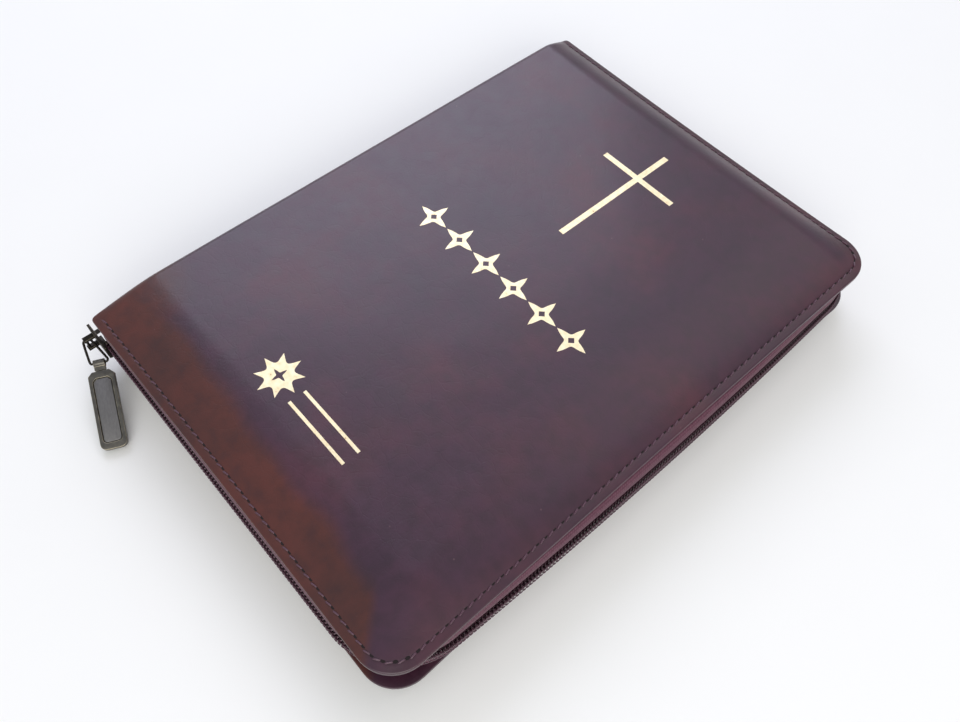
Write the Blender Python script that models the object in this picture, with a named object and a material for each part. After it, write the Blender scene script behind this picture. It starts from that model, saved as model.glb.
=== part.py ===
"""A zip-closed bible: padded cover, sewn page block, coil zip with slider and pull.

Frame: +X from the spine to the fore-edge, +Y from the tail to the head, +Z up.
The origin is the centre of the face that the book lies on. Lengths below are millimetres.
"""

import math

import bmesh
import bpy
from mathutils import Matrix, Vector

MM = 0.001

# Cover
HALF_WIDTH = 84.0
HALF_LENGTH = 119.0
THICKNESS = 33.0
MIDDLE = THICKNESS / 2
CORNER_RADIUS = 13.5
SPINE_CORNER_RADIUS = 1.5
LIP_DROP = 5.5
LIP_THICKNESS = 2.0
STITCH_INSET = 3.0
SLOPE_WIDTH = 15.0
SPINE_ROUND = 3.5
SPINE_EDGE_DROP = 3.1
SPINE_EDGE_THICKNESS = 0.4
SKIN = 1.2
RIM_INSET = 10.5
POCKET_INSET = 13.6
BOARD_INSET = 14.0
BOARD_THICKNESS = 2.0
LINING_THICKNESS = 0.3
GAP = 0.3
FLYLEAF_THICKNESS = 0.3

# Pages
PAGES_HINGE_X = -79.0
SPINE_CLOTH_THICKNESS = 0.4
PAGES_BACK_X = PAGES_HINGE_X + 0.1 + SPINE_CLOTH_THICKNESS + GAP
PAGES_FRONT_X = 73.0
PAGES_HALF_LENGTH = 108.0
PAGES_CORNER = 6.0
PAGES_HALF_DEPTH = 10.5
SIGNATURES_PER_HALF = 4
HEADBAND_SIZE = (2.4, 1.4)
RIBBON_X = -12.0
RIBBON_WIDTH = 10.0
RIBBON_THICKNESS = 0.2

# Spine
SPINE_X = -HALF_WIDTH
SPINE_STATIONS = (0.0, 60.0, 98.0, 104.0, 110.0, 115.5)
SPINE_WALL_SHARE = 0.992
SPINE_SKIN = 1.0
STIFFENER_THICKNESS = 0.8
STIFFENER_HALF_LENGTH = 100.0
STIFFENER_TOP = 28.3
HINGE_HEIGHT = 3.5

# Zip
ZIP_START_X = -77.3
ZIP_STOP_X = -79.0
COIL_OUTSIDE = 0.8
COIL_DEPTH = 1.6
COIL_HEIGHT = 2.2
COIL_HALF_GAP = 0.4
TAPE_OFFSET = 1.1
TAPE_THICKNESS = 0.7
ZIP_CORNER_RADIUS = 27.0
TAPE_EDGE_CLEARANCE = 7.8

# Slider and pull
SLIDER_BACK_X = -88.0
SLIDER_LENGTH = 12.4
SLIDER_HEIGHT = 9.0
PLATE_THICKNESS = 1.0
PLATE_SHOULDER = 1.4
SLOT = 3.2
WEB_LENGTH = 2.0
WEB_HALF_HEIGHT = 0.2
FLANGE_THICKNESS = 0.8
FLANGE_REACH = 1.4
LUG_THICKNESS = 1.0
BAR_POINT = Vector((-84.0, -124.2, 16.6))
BAR_RADIUS = 0.5
BAR_HALF_HEIGHT = 2.4
WIRE_RADIUS = 0.5
WIRE_SIDES = 8
RING_BEND = 1.6
RING_CORNER = 0.9
TAB_TOP = Vector((-74.8, -126.3, 10.9))
TAB_END = Vector((-49.6, -137.8, 1.8))
TAB_WIDTH = 9.2
TAB_HALF_THICKNESS = 1.0
TAB_RIM = 1.3
TAB_RIM_END = 2.6
PANEL_CLEARANCE = 0.3
LINK_WIDTH = 4.0
LINK_REACH = 3.2
LINK_BORE = 0.85
LINK_OUTSIDE = 1.4

# Foil
FOIL_THICKNESS = 0.2
FOIL_CROSS_X = -1.0
FOIL_STROKE = 2.4
FOIL_CROSS_FOOT = 32.6
FOIL_CROSS_HEAD = 92.6
FOIL_CROSS_BAR = 75.4
FOIL_CROSS_REACH = 17.8
ORNAMENT_COUNT = 6
ORNAMENT_START = (-37.9, 1.1)
ORNAMENT_PITCH = 14.8
ROSETTE_PLACE = (-18.0, -83.2)
RULE_ENDS = (-7.5, 22.1)
RULE_HEIGHTS = (-80.4, -86.6)
RULE_WIDTH = 1.2

# The padded face in steps from where it is flat out to the lip: insets on three sides, then at the spine
FACE_STEPS = (
    (18.0, 5.5),
    (14.5, 4.2),
    (11.5, 3.4),
    (8.5, 2.6),
    (5.5, 1.7),
    (3.0, 0.9),
    (1.5, 0.35),
    (0.0, 0.0),
)


def clear_scene():
    for obj in list(bpy.data.objects):
        bpy.data.objects.remove(obj, do_unlink=True)


def material(name, color, roughness, metallic=0.0):
    made = bpy.data.materials.new(name)
    made.use_nodes = True
    shader = made.node_tree.nodes["Principled BSDF"]
    shader.inputs["Base Color"].default_value = (*color, 1.0)
    shader.inputs["Roughness"].default_value = roughness
    shader.inputs["Metallic"].default_value = metallic
    return made


def body_pivot(name, place):
    """An empty on a joint's axis, which the pieces of that body are parented to."""
    pivot = bpy.data.objects.new(name, None)
    pivot.location = Vector(place) * MM
    bpy.context.scene.collection.objects.link(pivot)
    return pivot


def add_object(name, mesh, finish, pivot, smooth=False):
    """Links a mesh made in world millimetres under its body's pivot."""
    mesh.transform(Matrix.Scale(MM, 4))
    place = pivot.location.copy()
    mesh.transform(Matrix.Translation(-place))
    mesh.materials.append(finish)
    if smooth:
        mesh.shade_smooth()
        mesh.set_sharp_from_angle(angle=math.radians(35))
    obj = bpy.data.objects.new(name, mesh)
    bpy.context.scene.collection.objects.link(obj)
    obj.parent = pivot
    return obj


def mesh_from(name, verts, faces):
    mesh = bpy.data.meshes.new(name)
    made = bmesh.new()
    points = [made.verts.new(v) for v in verts]
    for face in faces:
        made.faces.new([points[i] for i in face])
    bmesh.ops.recalc_face_normals(made, faces=made.faces)
    made.to_mesh(mesh)
    made.free()
    return mesh


def loft(name, rings):
    """A closed skin over rings of equally many points, with a flat cap at each end."""
    count = len(rings[0])
    verts = [point for ring in rings for point in ring]
    faces = [list(range(count)), [len(verts) - count + i for i in range(count)]]
    for row in range(len(rings) - 1):
        for i in range(count):
            j = (i + 1) % count
            low = row * count
            faces.append([low + i, low + j, low + count + j, low + count + i])
    return mesh_from(name, verts, faces)


def box(name, low, high):
    x0, y0, z0 = low
    x1, y1, z1 = high
    plan = [(x0, y0), (x1, y0), (x1, y1), (x0, y1)]
    return loft(name, [[(x, y, z) for x, y in plan] for z in (z0, z1)])


def arc(cx, cy, radius, start, end, steps):
    angles = [math.radians(start + (end - start) * i / steps) for i in range(steps + 1)]
    return [(cx + radius * math.cos(a), cy + radius * math.sin(a)) for a in angles]


def spine_heights():
    """Stations along the spine, from tail to head, where its end profile is drawn."""
    return [-y for y in reversed(SPINE_STATIONS[1:])] + list(SPINE_STATIONS)


def cover_outline(inset, spine_inset):
    """The cover's plan, drawn in by inset on three sides and by spine_inset at the spine."""
    right = HALF_WIDTH - inset
    top = HALF_LENGTH - inset
    left = SPINE_X + spine_inset
    fore = max(CORNER_RADIUS - inset, 1.0)
    back = SPINE_CORNER_RADIUS
    points = arc(left + back, -top + back, back, 180, 270, 3)
    points += [(left + 4.0, -top)] + [(x, -top) for x in (-40.0, 0.0, 40.0)]
    points += arc(right - fore, -top + fore, fore, 270, 360, 6)
    points += [(right, y) for y in (-60.0, 0.0, 60.0)]
    points += arc(right - fore, top - fore, fore, 0, 90, 6)
    points += [(x, top) for x in (40.0, 0.0, -40.0)] + [(left + 4.0, top)]
    points += arc(left + back, top - back, back, 90, 180, 3)
    shrink = (top - back) / (HALF_LENGTH - back)
    points += [(left, y * shrink) for y in reversed(spine_heights())]
    return points


def smoothstep(t):
    t = min(max(t, 0.0), 1.0)
    return t * t * (3 - 2 * t)


def lip_share(depth):
    """How far the padded surface has risen from the lip, 0 to 1, at this depth inside the edge."""
    first = 0.13
    if depth < STITCH_INSET:
        return first * max(depth, 0.0) / STITCH_INSET
    return first + (1 - first) * smoothstep((depth - STITCH_INSET) / SLOPE_WIDTH)


def edge_depth(x, y):
    """Distance inside the tail, head and fore-edge lips, round their corners."""
    across = x - (HALF_WIDTH - CORNER_RADIUS)
    along = abs(y) - (HALF_LENGTH - CORNER_RADIUS)
    if across > 0 and along > 0:
        return CORNER_RADIUS - math.hypot(across, along)
    return min(HALF_WIDTH - x, HALF_LENGTH - abs(y))


def spine_share(x):
    """How much of the rise is left where the cover rounds over to the spine."""
    inside = min(max(x - SPINE_X, 0.0), SPINE_ROUND)
    left = SPINE_ROUND - inside
    drop = SPINE_EDGE_DROP * (1 - math.sqrt(1 - (left / SPINE_ROUND) ** 2))
    return 1 - drop / LIP_DROP


def surface(x, y):
    """Height of the front cover's outer surface."""
    return THICKNESS - LIP_DROP * (1 - lip_share(edge_depth(x, y)) * spine_share(x))


def under_edge(x, y):
    """Height of the lip's underside. It is thin where the spine's wall stands under it."""
    over_spine = x < SPINE_X + 2.6 and abs(y) < SPINE_STATIONS[-1] + 0.5
    if over_spine:
        return surface(SPINE_X, y) - SPINE_EDGE_THICKNESS
    return THICKNESS - LIP_DROP - LIP_THICKNESS


def flipped(ring, is_back):
    return [(x, y, THICKNESS - z if is_back else z) for x, y, z in ring]


def cover_leather(name, finish, pivot, is_back):
    """One cover's leather: padded outer face, lips, and a pocket for the padding and board."""
    inner_height = MIDDLE + PAGES_HALF_DEPTH + GAP
    rings = []
    for inset, spine_inset in FACE_STEPS:
        rings.append([(x, y, surface(x, y)) for x, y in cover_outline(inset, spine_inset)])
    rings.append([(x, y, under_edge(x, y)) for x, y in cover_outline(0.3, 0.0)])
    rings.append([(x, y, under_edge(x, y)) for x, y in cover_outline(3.2, 2.5)])
    rings.append([(x, y, inner_height) for x, y in cover_outline(RIM_INSET, 2.7)])
    rings.append([(x, y, inner_height) for x, y in cover_outline(POCKET_INSET, 2.9)])
    for inset, spine_inset in [(POCKET_INSET, 2.9), (18.0, 6.0)]:
        rings.append([(x, y, surface(x, y) - SKIN) for x, y in cover_outline(inset, spine_inset)])
    mesh = loft(name, [flipped(ring, is_back) for ring in rings])
    return add_object(name, mesh, finish, pivot, smooth=True)


def cover_core(side, finishes, pivot, is_back):
    """The lining, board and padding inside one cover."""
    level = MIDDLE + PAGES_HALF_DEPTH + GAP
    plan = cover_outline(BOARD_INSET, 3.3)
    layers = [("lining", LINING_THICKNESS), ("board", BOARD_THICKNESS)]
    for kind, thick in layers:
        rings = [[(x, y, z) for x, y in plan] for z in (level, level + thick)]
        name = f"{side}_{kind}"
        add_object(name, loft(name, [flipped(r, is_back) for r in rings]), finishes[kind], pivot)
        level += thick + GAP
    rings = [[(x, y, level) for x, y in plan]]
    for inset, spine_inset in [(BOARD_INSET, 3.3), (18.2, 6.2)]:
        outline = cover_outline(inset, spine_inset)
        rings.append([(x, y, surface(x, y) - SKIN - GAP) for x, y in outline])
    name = f"{side}_padding"
    add_object(name, loft(name, [flipped(r, is_back) for r in rings]), finishes["padding"], pivot)


def spine_wall(finishes, pivot):
    """The leather spine, whose ends stand lower under the sloping lips, and its stiffener."""
    rings = []
    for y in spine_heights():
        top = surface(SPINE_X, y) - SPINE_EDGE_THICKNESS - GAP
        low = THICKNESS - top
        x0 = SPINE_X
        x1 = SPINE_X + SPINE_SKIN
        end = y * SPINE_WALL_SHARE
        rings.append([(x0, end, low), (x1, end, low), (x1, end, top), (x0, end, top)])
    add_object("spine_leather", loft("spine_leather", rings), finishes["leather"], pivot)
    x0 = SPINE_X + SPINE_SKIN + GAP
    low_corner = (x0, -STIFFENER_HALF_LENGTH, THICKNESS - STIFFENER_TOP)
    high_corner = (x0 + STIFFENER_THICKNESS, STIFFENER_HALF_LENGTH, STIFFENER_TOP)
    stiffener = box("spine_stiffener", low_corner, high_corner)
    add_object("spine_stiffener", stiffener, finishes["board"], pivot)


def page_slab(name, z0, z1, finish, pivot):
    """Leaves with square corners at the spine and rounded ones at the fore-edge."""
    y = PAGES_HALF_LENGTH
    r = PAGES_CORNER
    plan = [(PAGES_BACK_X, -y)]
    plan += arc(PAGES_FRONT_X - r, -y + r, r, 270, 360, 5)
    plan += arc(PAGES_FRONT_X - r, y - r, r, 0, 90, 5)
    plan += [(PAGES_BACK_X, y)]
    mesh = loft(name, [[(px, py, z) for px, py in plan] for z in (z0, z1)])
    add_object(name, mesh, finish, pivot)


def page_half(side, flyleaf, finishes, pivot, is_upper):
    """Half of the sewn block: signatures, flyleaf, spine cloth and the two headbands."""
    sign = 1 if is_upper else -1
    split = RIBBON_THICKNESS / 2 + GAP
    room = PAGES_HALF_DEPTH - split - FLYLEAF_THICKNESS - GAP
    pitch = (room + GAP) / SIGNATURES_PER_HALF
    for i in range(SIGNATURES_PER_HALF):
        near = MIDDLE + sign * (split + i * pitch)
        far = near + sign * (pitch - GAP)
        name = f"{side}_signatures_{i + 1}"
        page_slab(name, min(near, far), max(near, far), finishes["paper"], pivot)
    outer = MIDDLE + sign * PAGES_HALF_DEPTH
    inner = outer - sign * FLYLEAF_THICKNESS
    page_slab(flyleaf, min(outer, inner), max(outer, inner), finishes["lining"], pivot)
    near = MIDDLE + sign * split
    far = MIDDLE + sign * (PAGES_HALF_DEPTH - GAP)
    low = min(near, far)
    high = max(near, far)
    name = f"{side}_spine_cloth"
    x1 = PAGES_BACK_X - GAP
    half = STIFFENER_HALF_LENGTH
    cloth = box(name, (x1 - SPINE_CLOTH_THICKNESS, -half, low), (x1, half, high))
    add_object(name, cloth, finishes["mull"], pivot)
    for end, direction in (("head", 1), ("tail", -1)):
        name = f"{side}_headband_{end}"
        y0 = direction * (PAGES_HALF_LENGTH + GAP)
        y1 = y0 + direction * HEADBAND_SIZE[1]
        low_corner = (PAGES_BACK_X, min(y0, y1), low)
        high_corner = (PAGES_BACK_X + HEADBAND_SIZE[0], max(y0, y1), high)
        add_object(name, box(name, low_corner, high_corner), finishes["headband"], pivot)


def zip_path(offset, start_x):
    """The zip's plan line: tail, fore-edge and head, with wide tucked-in corners."""
    right = HALF_WIDTH - offset
    top = HALF_LENGTH - offset
    radius = ZIP_CORNER_RADIUS - offset
    points = [(start_x, -top), (-10.0, -top)]
    points += arc(right - radius, -top + radius, radius, 270, 360, 9)
    points += [(right, 0.0)]
    points += arc(right - radius, top - radius, radius, 0, 90, 9)
    points += [(-10.0, top), (start_x, top)]
    return points


def zip_wall(name, outside, thick, z0, z1, finish, pivot):
    """A standing strip along the zip's path."""
    outer = zip_path(outside, ZIP_START_X)
    inner = zip_path(outside + thick, ZIP_START_X)
    rings = []
    for (ox, oy), (ix, iy) in zip(outer, inner):
        rings.append([(ox, oy, z0), (ix, iy, z0), (ix, iy, z1), (ox, oy, z1)])
    add_object(name, loft(name, rings), finish, pivot)


def zip_half(side, finishes, pivot, is_upper):
    """One tape, its coil and the metal stops at the coil's two ends."""
    near = MIDDLE + COIL_HALF_GAP
    coil = (near, near + COIL_HEIGHT)
    tape = (near + GAP, THICKNESS - TAPE_EDGE_CLEARANCE)
    if not is_upper:
        coil = (THICKNESS - coil[1], THICKNESS - coil[0])
        tape = (THICKNESS - tape[1], THICKNESS - tape[0])
    zip_wall(f"{side}_zip_coil", -COIL_OUTSIDE, COIL_DEPTH, *coil, finishes["coil"], pivot)
    zip_wall(f"{side}_zip_tape", TAPE_OFFSET, TAPE_THICKNESS, *tape, finishes["tape"], pivot)
    outer_y = HALF_LENGTH + COIL_OUTSIDE
    for end, direction in (("head", 1), ("tail", -1)):
        name = f"{side}_zip_stop_{end}"
        ys = sorted((direction * outer_y, direction * (outer_y - COIL_DEPTH)))
        stop = box(name, (ZIP_STOP_X, ys[0], coil[0]), (ZIP_START_X - GAP, ys[1], coil[1]))
        add_object(name, stop, finishes["metal"], pivot)


def joined(name, pieces, finish, pivot):
    """One solid made by uniting several overlapping meshes."""
    main = add_object(name, pieces[0], finish, pivot)
    for i, mesh in enumerate(pieces[1:]):
        helper = add_object(f"{name}_helper_{i + 1}", mesh, finish, pivot)
        helper.hide_render = True
        helper.display_type = "WIRE"
        unite = main.modifiers.new(f"Unite {i + 1}", "BOOLEAN")
        unite.operation = "UNION"
        unite.object = helper
    return main


def upright_round(name, centre, radius, z0, z1, steps=16):
    plan = arc(centre[0], centre[1], radius, 0, 360 - 360 / steps, steps - 1)
    return loft(name, [[(x, y, z) for x, y in plan] for z in (z0, z1)])


def slider(finishes, pivot):
    """Two plates joined by the web between the coils, with a crown that the ring hangs on.

    The slot is open at the top, so that the upper coil can lift out at any place."""
    x0 = SLIDER_BACK_X
    x1 = x0 + SLIDER_LENGTH
    half = SLIDER_HEIGHT / 2
    slot_out = -(HALF_LENGTH + COIL_OUTSIDE + GAP)
    slot_in = slot_out + SLOT
    into_plate = PLATE_THICKNESS / 2
    plan = [(x0, -half), (x1, -half + PLATE_SHOULDER), (x1, half - PLATE_SHOULDER), (x0, half)]
    plates = []
    for y0, y1 in ((slot_out - PLATE_THICKNESS, slot_out), (slot_in, slot_in + PLATE_THICKNESS)):
        plates.append(loft("plate", [[(x, y, MIDDLE + z) for x, z in plan] for y in (y0, y1)]))
    web_low = (x0 + 0.4, slot_out - into_plate, MIDDLE - WEB_HALF_HEIGHT)
    web_high = (x0 + 0.4 + WEB_LENGTH, slot_in + into_plate, MIDDLE + WEB_HALF_HEIGHT)
    low = MIDDLE - half + 0.5
    flange_low = (x0 + 1.0, slot_out - into_plate, low)
    flange_high = (x1 - 0.5, slot_out + FLANGE_REACH, low + FLANGE_THICKNESS)
    bar_x, bar_y, bar_z = BAR_POINT
    lugs = []
    for sign in (-1, 1):
        near = bar_z + sign * (BAR_HALF_HEIGHT - LUG_THICKNESS / 2)
        far = bar_z + sign * (BAR_HALF_HEIGHT + LUG_THICKNESS / 2)
        low_corner = (bar_x - 1.1, bar_y - 0.9, min(near, far))
        high_corner = (bar_x + 1.1, slot_out - into_plate, max(near, far))
        lugs.append(box("lug", low_corner, high_corner))
    bar = upright_round("bar", (bar_x, bar_y), BAR_RADIUS, bar_z - BAR_HALF_HEIGHT, bar_z + BAR_HALF_HEIGHT)
    web = box("web", web_low, web_high)
    flange = box("flange", flange_low, flange_high)
    joined("slider_body", [plates[0], web, plates[1], flange, *lugs, bar], finishes["metal"], pivot)


def tab_axes():
    """The pull tab's length, width and face directions."""
    along = (TAB_END - TAB_TOP).normalized()
    across = Vector((-along.y, along.x, 0.0)).normalized()
    face = along.cross(across).normalized()
    return along, across, face


def belt(circles, spacing):
    """Points along a belt laid round circles (x, y, radius), which are listed anticlockwise."""
    points = []
    count = len(circles)
    angles = []
    for i, (x, y, r) in enumerate(circles):
        nx, ny, nr = circles[(i + 1) % count]
        along = math.atan2(ny - y, nx - x)
        lean = math.asin((r - nr) / math.hypot(nx - x, ny - y))
        angles.append(along - math.pi / 2 + lean)
    for i, (x, y, r) in enumerate(circles):
        start = angles[i - 1]
        turn = (angles[i] - start) % (2 * math.pi)
        steps = max(2, round(turn * r / spacing))
        for k in range(steps + 1):
            angle = start + turn * k / steps
            points.append((x + r * math.cos(angle), y + r * math.sin(angle)))
    return points


def ring(finishes, pivot):
    """A flat wire loop: a bend round the crown's bar, and a straight side in the link."""
    along, across, _ = tab_axes()
    link_bar = TAB_TOP - along * LINK_REACH
    reach = BAR_POINT - link_bar
    side = reach.dot(across)
    up = (reach - across * side).normalized()
    normal = across.cross(up)
    half = LINK_WIDTH / 2 + 0.3
    corners = [(-half, RING_CORNER, RING_CORNER), (half, RING_CORNER, RING_CORNER)]
    path = belt([*corners, (side, reach.dot(up), RING_BEND)], WIRE_RADIUS)
    verts = []
    for i, (u, v) in enumerate(path):
        before = path[i - 1]
        after = path[(i + 1) % len(path)]
        direction = Vector((after[0] - before[0], after[1] - before[1])).normalized()
        outward = across * direction.y - up * direction.x
        centre = link_bar + across * u + up * v
        for k in range(WIRE_SIDES):
            angle = 2 * math.pi * k / WIRE_SIDES
            verts.append(centre + (outward * math.cos(angle) + normal * math.sin(angle)) * WIRE_RADIUS)
    faces = []
    for i in range(len(path)):
        row = i * WIRE_SIDES
        following = (i + 1) % len(path) * WIRE_SIDES
        for k in range(WIRE_SIDES):
            j = (k + 1) % WIRE_SIDES
            faces.append([row + k, row + j, following + j, following + k])
    add_object("pull_ring", mesh_from("pull_ring", verts, faces), finishes["metal"], pivot, smooth=True)


def tab_frame_mesh(name, outline, z0, z1):
    """Extrudes a plan drawn in the tab's own frame, and stands it in the world."""
    along, across, face = tab_axes()
    rings = []
    for z in (z0, z1):
        rings.append([tuple(TAB_TOP + along * u + across * v + face * z) for u, v in outline])
    return loft(name, rings)


def tab_outline(length, half, shoulder, corner, start=0.0):
    """A bar with chamfered shoulders at the top and rounded corners at its end."""
    end = start + length
    points = [(start, -half + shoulder), (start + shoulder, -half)]
    points += arc(end - corner, -half + corner, corner, 270, 360, 4)
    points += arc(end - corner, half - corner, corner, 0, 90, 4)
    points += [(start + shoulder, half), (start, half - shoulder)]
    return points


def cut_away(obj, mesh, finish, pivot):
    """Takes a helper mesh's shape out of an object."""
    cutter = add_object(f"{obj.name}_cutter", mesh, finish, pivot)
    cutter.hide_render = True
    cutter.display_type = "WIRE"
    cut = obj.modifiers.new("Cut", "BOOLEAN")
    cut.operation = "DIFFERENCE"
    cut.object = cutter


def pull_tab(finishes, pivot):
    """The bezelled tab and its inlaid panel."""
    length = (TAB_END - TAB_TOP).length
    half = TAB_WIDTH / 2
    top = TAB_HALF_THICKNESS
    frame_solid = tab_frame_mesh("pull_tab", tab_outline(length, half, 1.6, 2.2), -top, top)
    tab = add_object("pull_tab", frame_solid, finishes["metal"], pivot)
    recess_length = length - TAB_RIM_END - 2.4
    recess = tab_outline(recess_length, half - TAB_RIM, 1.2, 1.4, TAB_RIM_END)
    cut_away(tab, tab_frame_mesh("recess", recess, 0.2, top + 0.6), finishes["metal"], pivot)
    gap = PANEL_CLEARANCE
    panel = tab_outline(recess_length - 2 * gap, half - TAB_RIM - gap, 1.1, 1.2, TAB_RIM_END + gap)
    inlay = tab_frame_mesh("pull_tab_panel", panel, 0.5, 0.8)
    add_object("pull_tab_panel", inlay, finishes["panel"], pivot)


def pull_link(finishes, pivot):
    """The sleeve folded round the ring's straight side, with its tongue towards the tab."""
    along, across, face = tab_axes()
    centre = TAB_TOP - along * LINK_REACH
    opening = 24
    bends = []
    for radius in (LINK_BORE, LINK_OUTSIDE):
        turn = arc(0.0, 0.0, radius, opening, 360 - opening, 20)
        bends.append([centre + along * u + face * w for u, w in turn])
    inner, outer = bends
    tongue_end = TAB_TOP - along * GAP
    neck = centre + along * 1.15
    profile = [tongue_end + face * 0.5, *outer, tongue_end - face * 0.5]
    profile += [neck - face * 0.2, *reversed(inner), neck + face * 0.2]
    sides = [[tuple(p + across * s) for p in profile] for s in (-LINK_WIDTH / 2, LINK_WIDTH / 2)]
    add_object("pull_link", loft("pull_link", sides), finishes["metal"], pivot)


def foil_piece(name, plan, finish, pivot):
    low = THICKNESS + GAP
    rings = [[(x, y, z) for x, y in plan] for z in (low, low + FOIL_THICKNESS)]
    add_object(name, loft(name, rings), finish, pivot)


def foil_cross(finish, pivot):
    half = FOIL_STROKE / 2
    bar_low = FOIL_CROSS_BAR - half
    bar_high = FOIL_CROSS_BAR + half
    reach = FOIL_CROSS_REACH
    right = [(half, FOIL_CROSS_FOOT), (half, bar_low), (reach, bar_low)]
    right += [(reach, bar_high), (half, bar_high), (half, FOIL_CROSS_HEAD)]
    left = [(-x, y) for x, y in reversed(right)]
    foil_piece("foil_cross", [(FOIL_CROSS_X + x, y) for x, y in right + left], finish, pivot)


def foil_star(name, cx, cy, outer, inner, points, finish, pivot):
    """A pointed rosette, which stands for an ornament."""
    plan = []
    for i in range(points * 2):
        radius = outer if i % 2 == 0 else inner
        angle = math.pi * i / points
        plan.append((cx + radius * math.cos(angle), cy + radius * math.sin(angle)))
    foil_piece(name, plan, finish, pivot)


def foil_ornaments(finish, pivot):
    x, y = ORNAMENT_START
    for i in range(ORNAMENT_COUNT):
        foil_star(f"foil_ornament_{i + 1}", x + ORNAMENT_PITCH * i, y, 7.0, 2.8, 4, finish, pivot)
    foil_star("foil_rosette", *ROSETTE_PLACE, 8.8, 5.2, 8, finish, pivot)
    x0, x1 = RULE_ENDS
    for i, y in enumerate(RULE_HEIGHTS):
        low = y - RULE_WIDTH / 2
        high = y + RULE_WIDTH / 2
        foil_piece(f"foil_rule_{i + 1}", [(x0, low), (x1, low), (x1, high), (x0, high)], finish, pivot)


def main():
    clear_scene()
    finishes = {
        "leather": material("burgundy_leather", (0.075, 0.022, 0.028), 0.4),
        "padding": material("cover_foam", (0.6, 0.58, 0.52), 0.9),
        "board": material("grey_board", (0.35, 0.33, 0.3), 0.85),
        "lining": material("endpaper", (0.55, 0.5, 0.42), 0.8),
        "paper": material("thin_print_paper", (0.82, 0.79, 0.7), 0.75),
        "mull": material("spine_cloth", (0.75, 0.73, 0.66), 0.9),
        "headband": material("headband_cloth", (0.3, 0.04, 0.05), 0.8),
        "ribbon": material("satin_ribbon", (0.32, 0.03, 0.05), 0.4),
        "coil": material("nylon_coil", (0.06, 0.02, 0.025), 0.4),
        "tape": material("zip_tape", (0.12, 0.03, 0.05), 0.8),
        "metal": material("antique_metal", (0.2, 0.19, 0.18), 0.4, 1.0),
        "panel": material("antique_metal_panel", (0.15, 0.145, 0.15), 0.5, 1.0),
        "foil": material("pale_gold_foil", (0.9, 0.8, 0.6), 0.3, 0.6),
    }
    back = body_pivot("back_pivot", (0, 0, 0))
    spine = body_pivot("spine_pivot", (SPINE_X, 0, HINGE_HEIGHT))
    front = body_pivot("front_pivot", (SPINE_X, 0, THICKNESS - HINGE_HEIGHT))
    pages = body_pivot("pages_pivot", (PAGES_HINGE_X, 0, MIDDLE))
    slide = body_pivot("slider_pivot", (SLIDER_BACK_X, -HALF_LENGTH, MIDDLE))
    loop = body_pivot("ring_pivot", BAR_POINT)
    along, _, _ = tab_axes()
    hang = body_pivot("tab_pivot", TAB_TOP - along * LINK_REACH)

    cover_leather("back_cover_leather", finishes["leather"], back, True)
    cover_core("back", finishes, back, True)
    spine_wall(finishes, spine)
    cover_leather("front_cover_leather", finishes["leather"], front, False)
    cover_core("front", finishes, front, False)
    page_half("lower", "back_flyleaf", finishes, back, False)
    page_half("upper", "front_flyleaf", finishes, pages, True)
    half_ribbon = RIBBON_THICKNESS / 2
    low = (RIBBON_X, -PAGES_HALF_LENGTH, MIDDLE - half_ribbon)
    high = (RIBBON_X + RIBBON_WIDTH, PAGES_HALF_LENGTH, MIDDLE + half_ribbon)
    add_object("ribbon_marker", box("ribbon_marker", low, high), finishes["ribbon"], back)
    zip_half("lower", finishes, back, False)
    zip_half("upper", finishes, front, True)
    slider(finishes, slide)
    ring(finishes, loop)
    pull_link(finishes, hang)
    pull_tab(finishes, hang)
    foil_cross(finishes["foil"], front)
    foil_ornaments(finishes["foil"], front)


main()
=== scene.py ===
"""A zip-closed bible: padded burgundy leather, coil zip with slider and pull, sewn pages.

Sizes are millimetres, and turn to metres in the meshes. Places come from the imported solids.
"""

import math

import bmesh
import bpy
import numpy as np
from mathutils import Matrix, Quaternion, Vector, noise


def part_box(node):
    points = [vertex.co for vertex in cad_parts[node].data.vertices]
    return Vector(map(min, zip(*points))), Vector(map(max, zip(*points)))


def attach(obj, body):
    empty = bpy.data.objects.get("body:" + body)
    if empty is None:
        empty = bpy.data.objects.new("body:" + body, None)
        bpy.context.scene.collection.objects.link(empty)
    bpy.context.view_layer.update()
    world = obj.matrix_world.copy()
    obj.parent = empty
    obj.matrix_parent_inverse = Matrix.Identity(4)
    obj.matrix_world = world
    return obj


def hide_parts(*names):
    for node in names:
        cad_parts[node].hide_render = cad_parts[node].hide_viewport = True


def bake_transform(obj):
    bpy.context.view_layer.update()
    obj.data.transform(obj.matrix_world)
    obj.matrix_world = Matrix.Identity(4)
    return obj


MM = 0.001

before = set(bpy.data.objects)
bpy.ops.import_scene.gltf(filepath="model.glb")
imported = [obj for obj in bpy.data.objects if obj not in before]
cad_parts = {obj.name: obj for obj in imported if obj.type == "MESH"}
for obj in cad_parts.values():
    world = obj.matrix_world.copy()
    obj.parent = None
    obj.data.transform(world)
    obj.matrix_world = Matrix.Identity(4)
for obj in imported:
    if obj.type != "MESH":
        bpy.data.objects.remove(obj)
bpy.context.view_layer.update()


def box_mm(node_name):
    """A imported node's lowest and highest corners, in millimetres."""
    return [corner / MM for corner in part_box(node_name)]


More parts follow.
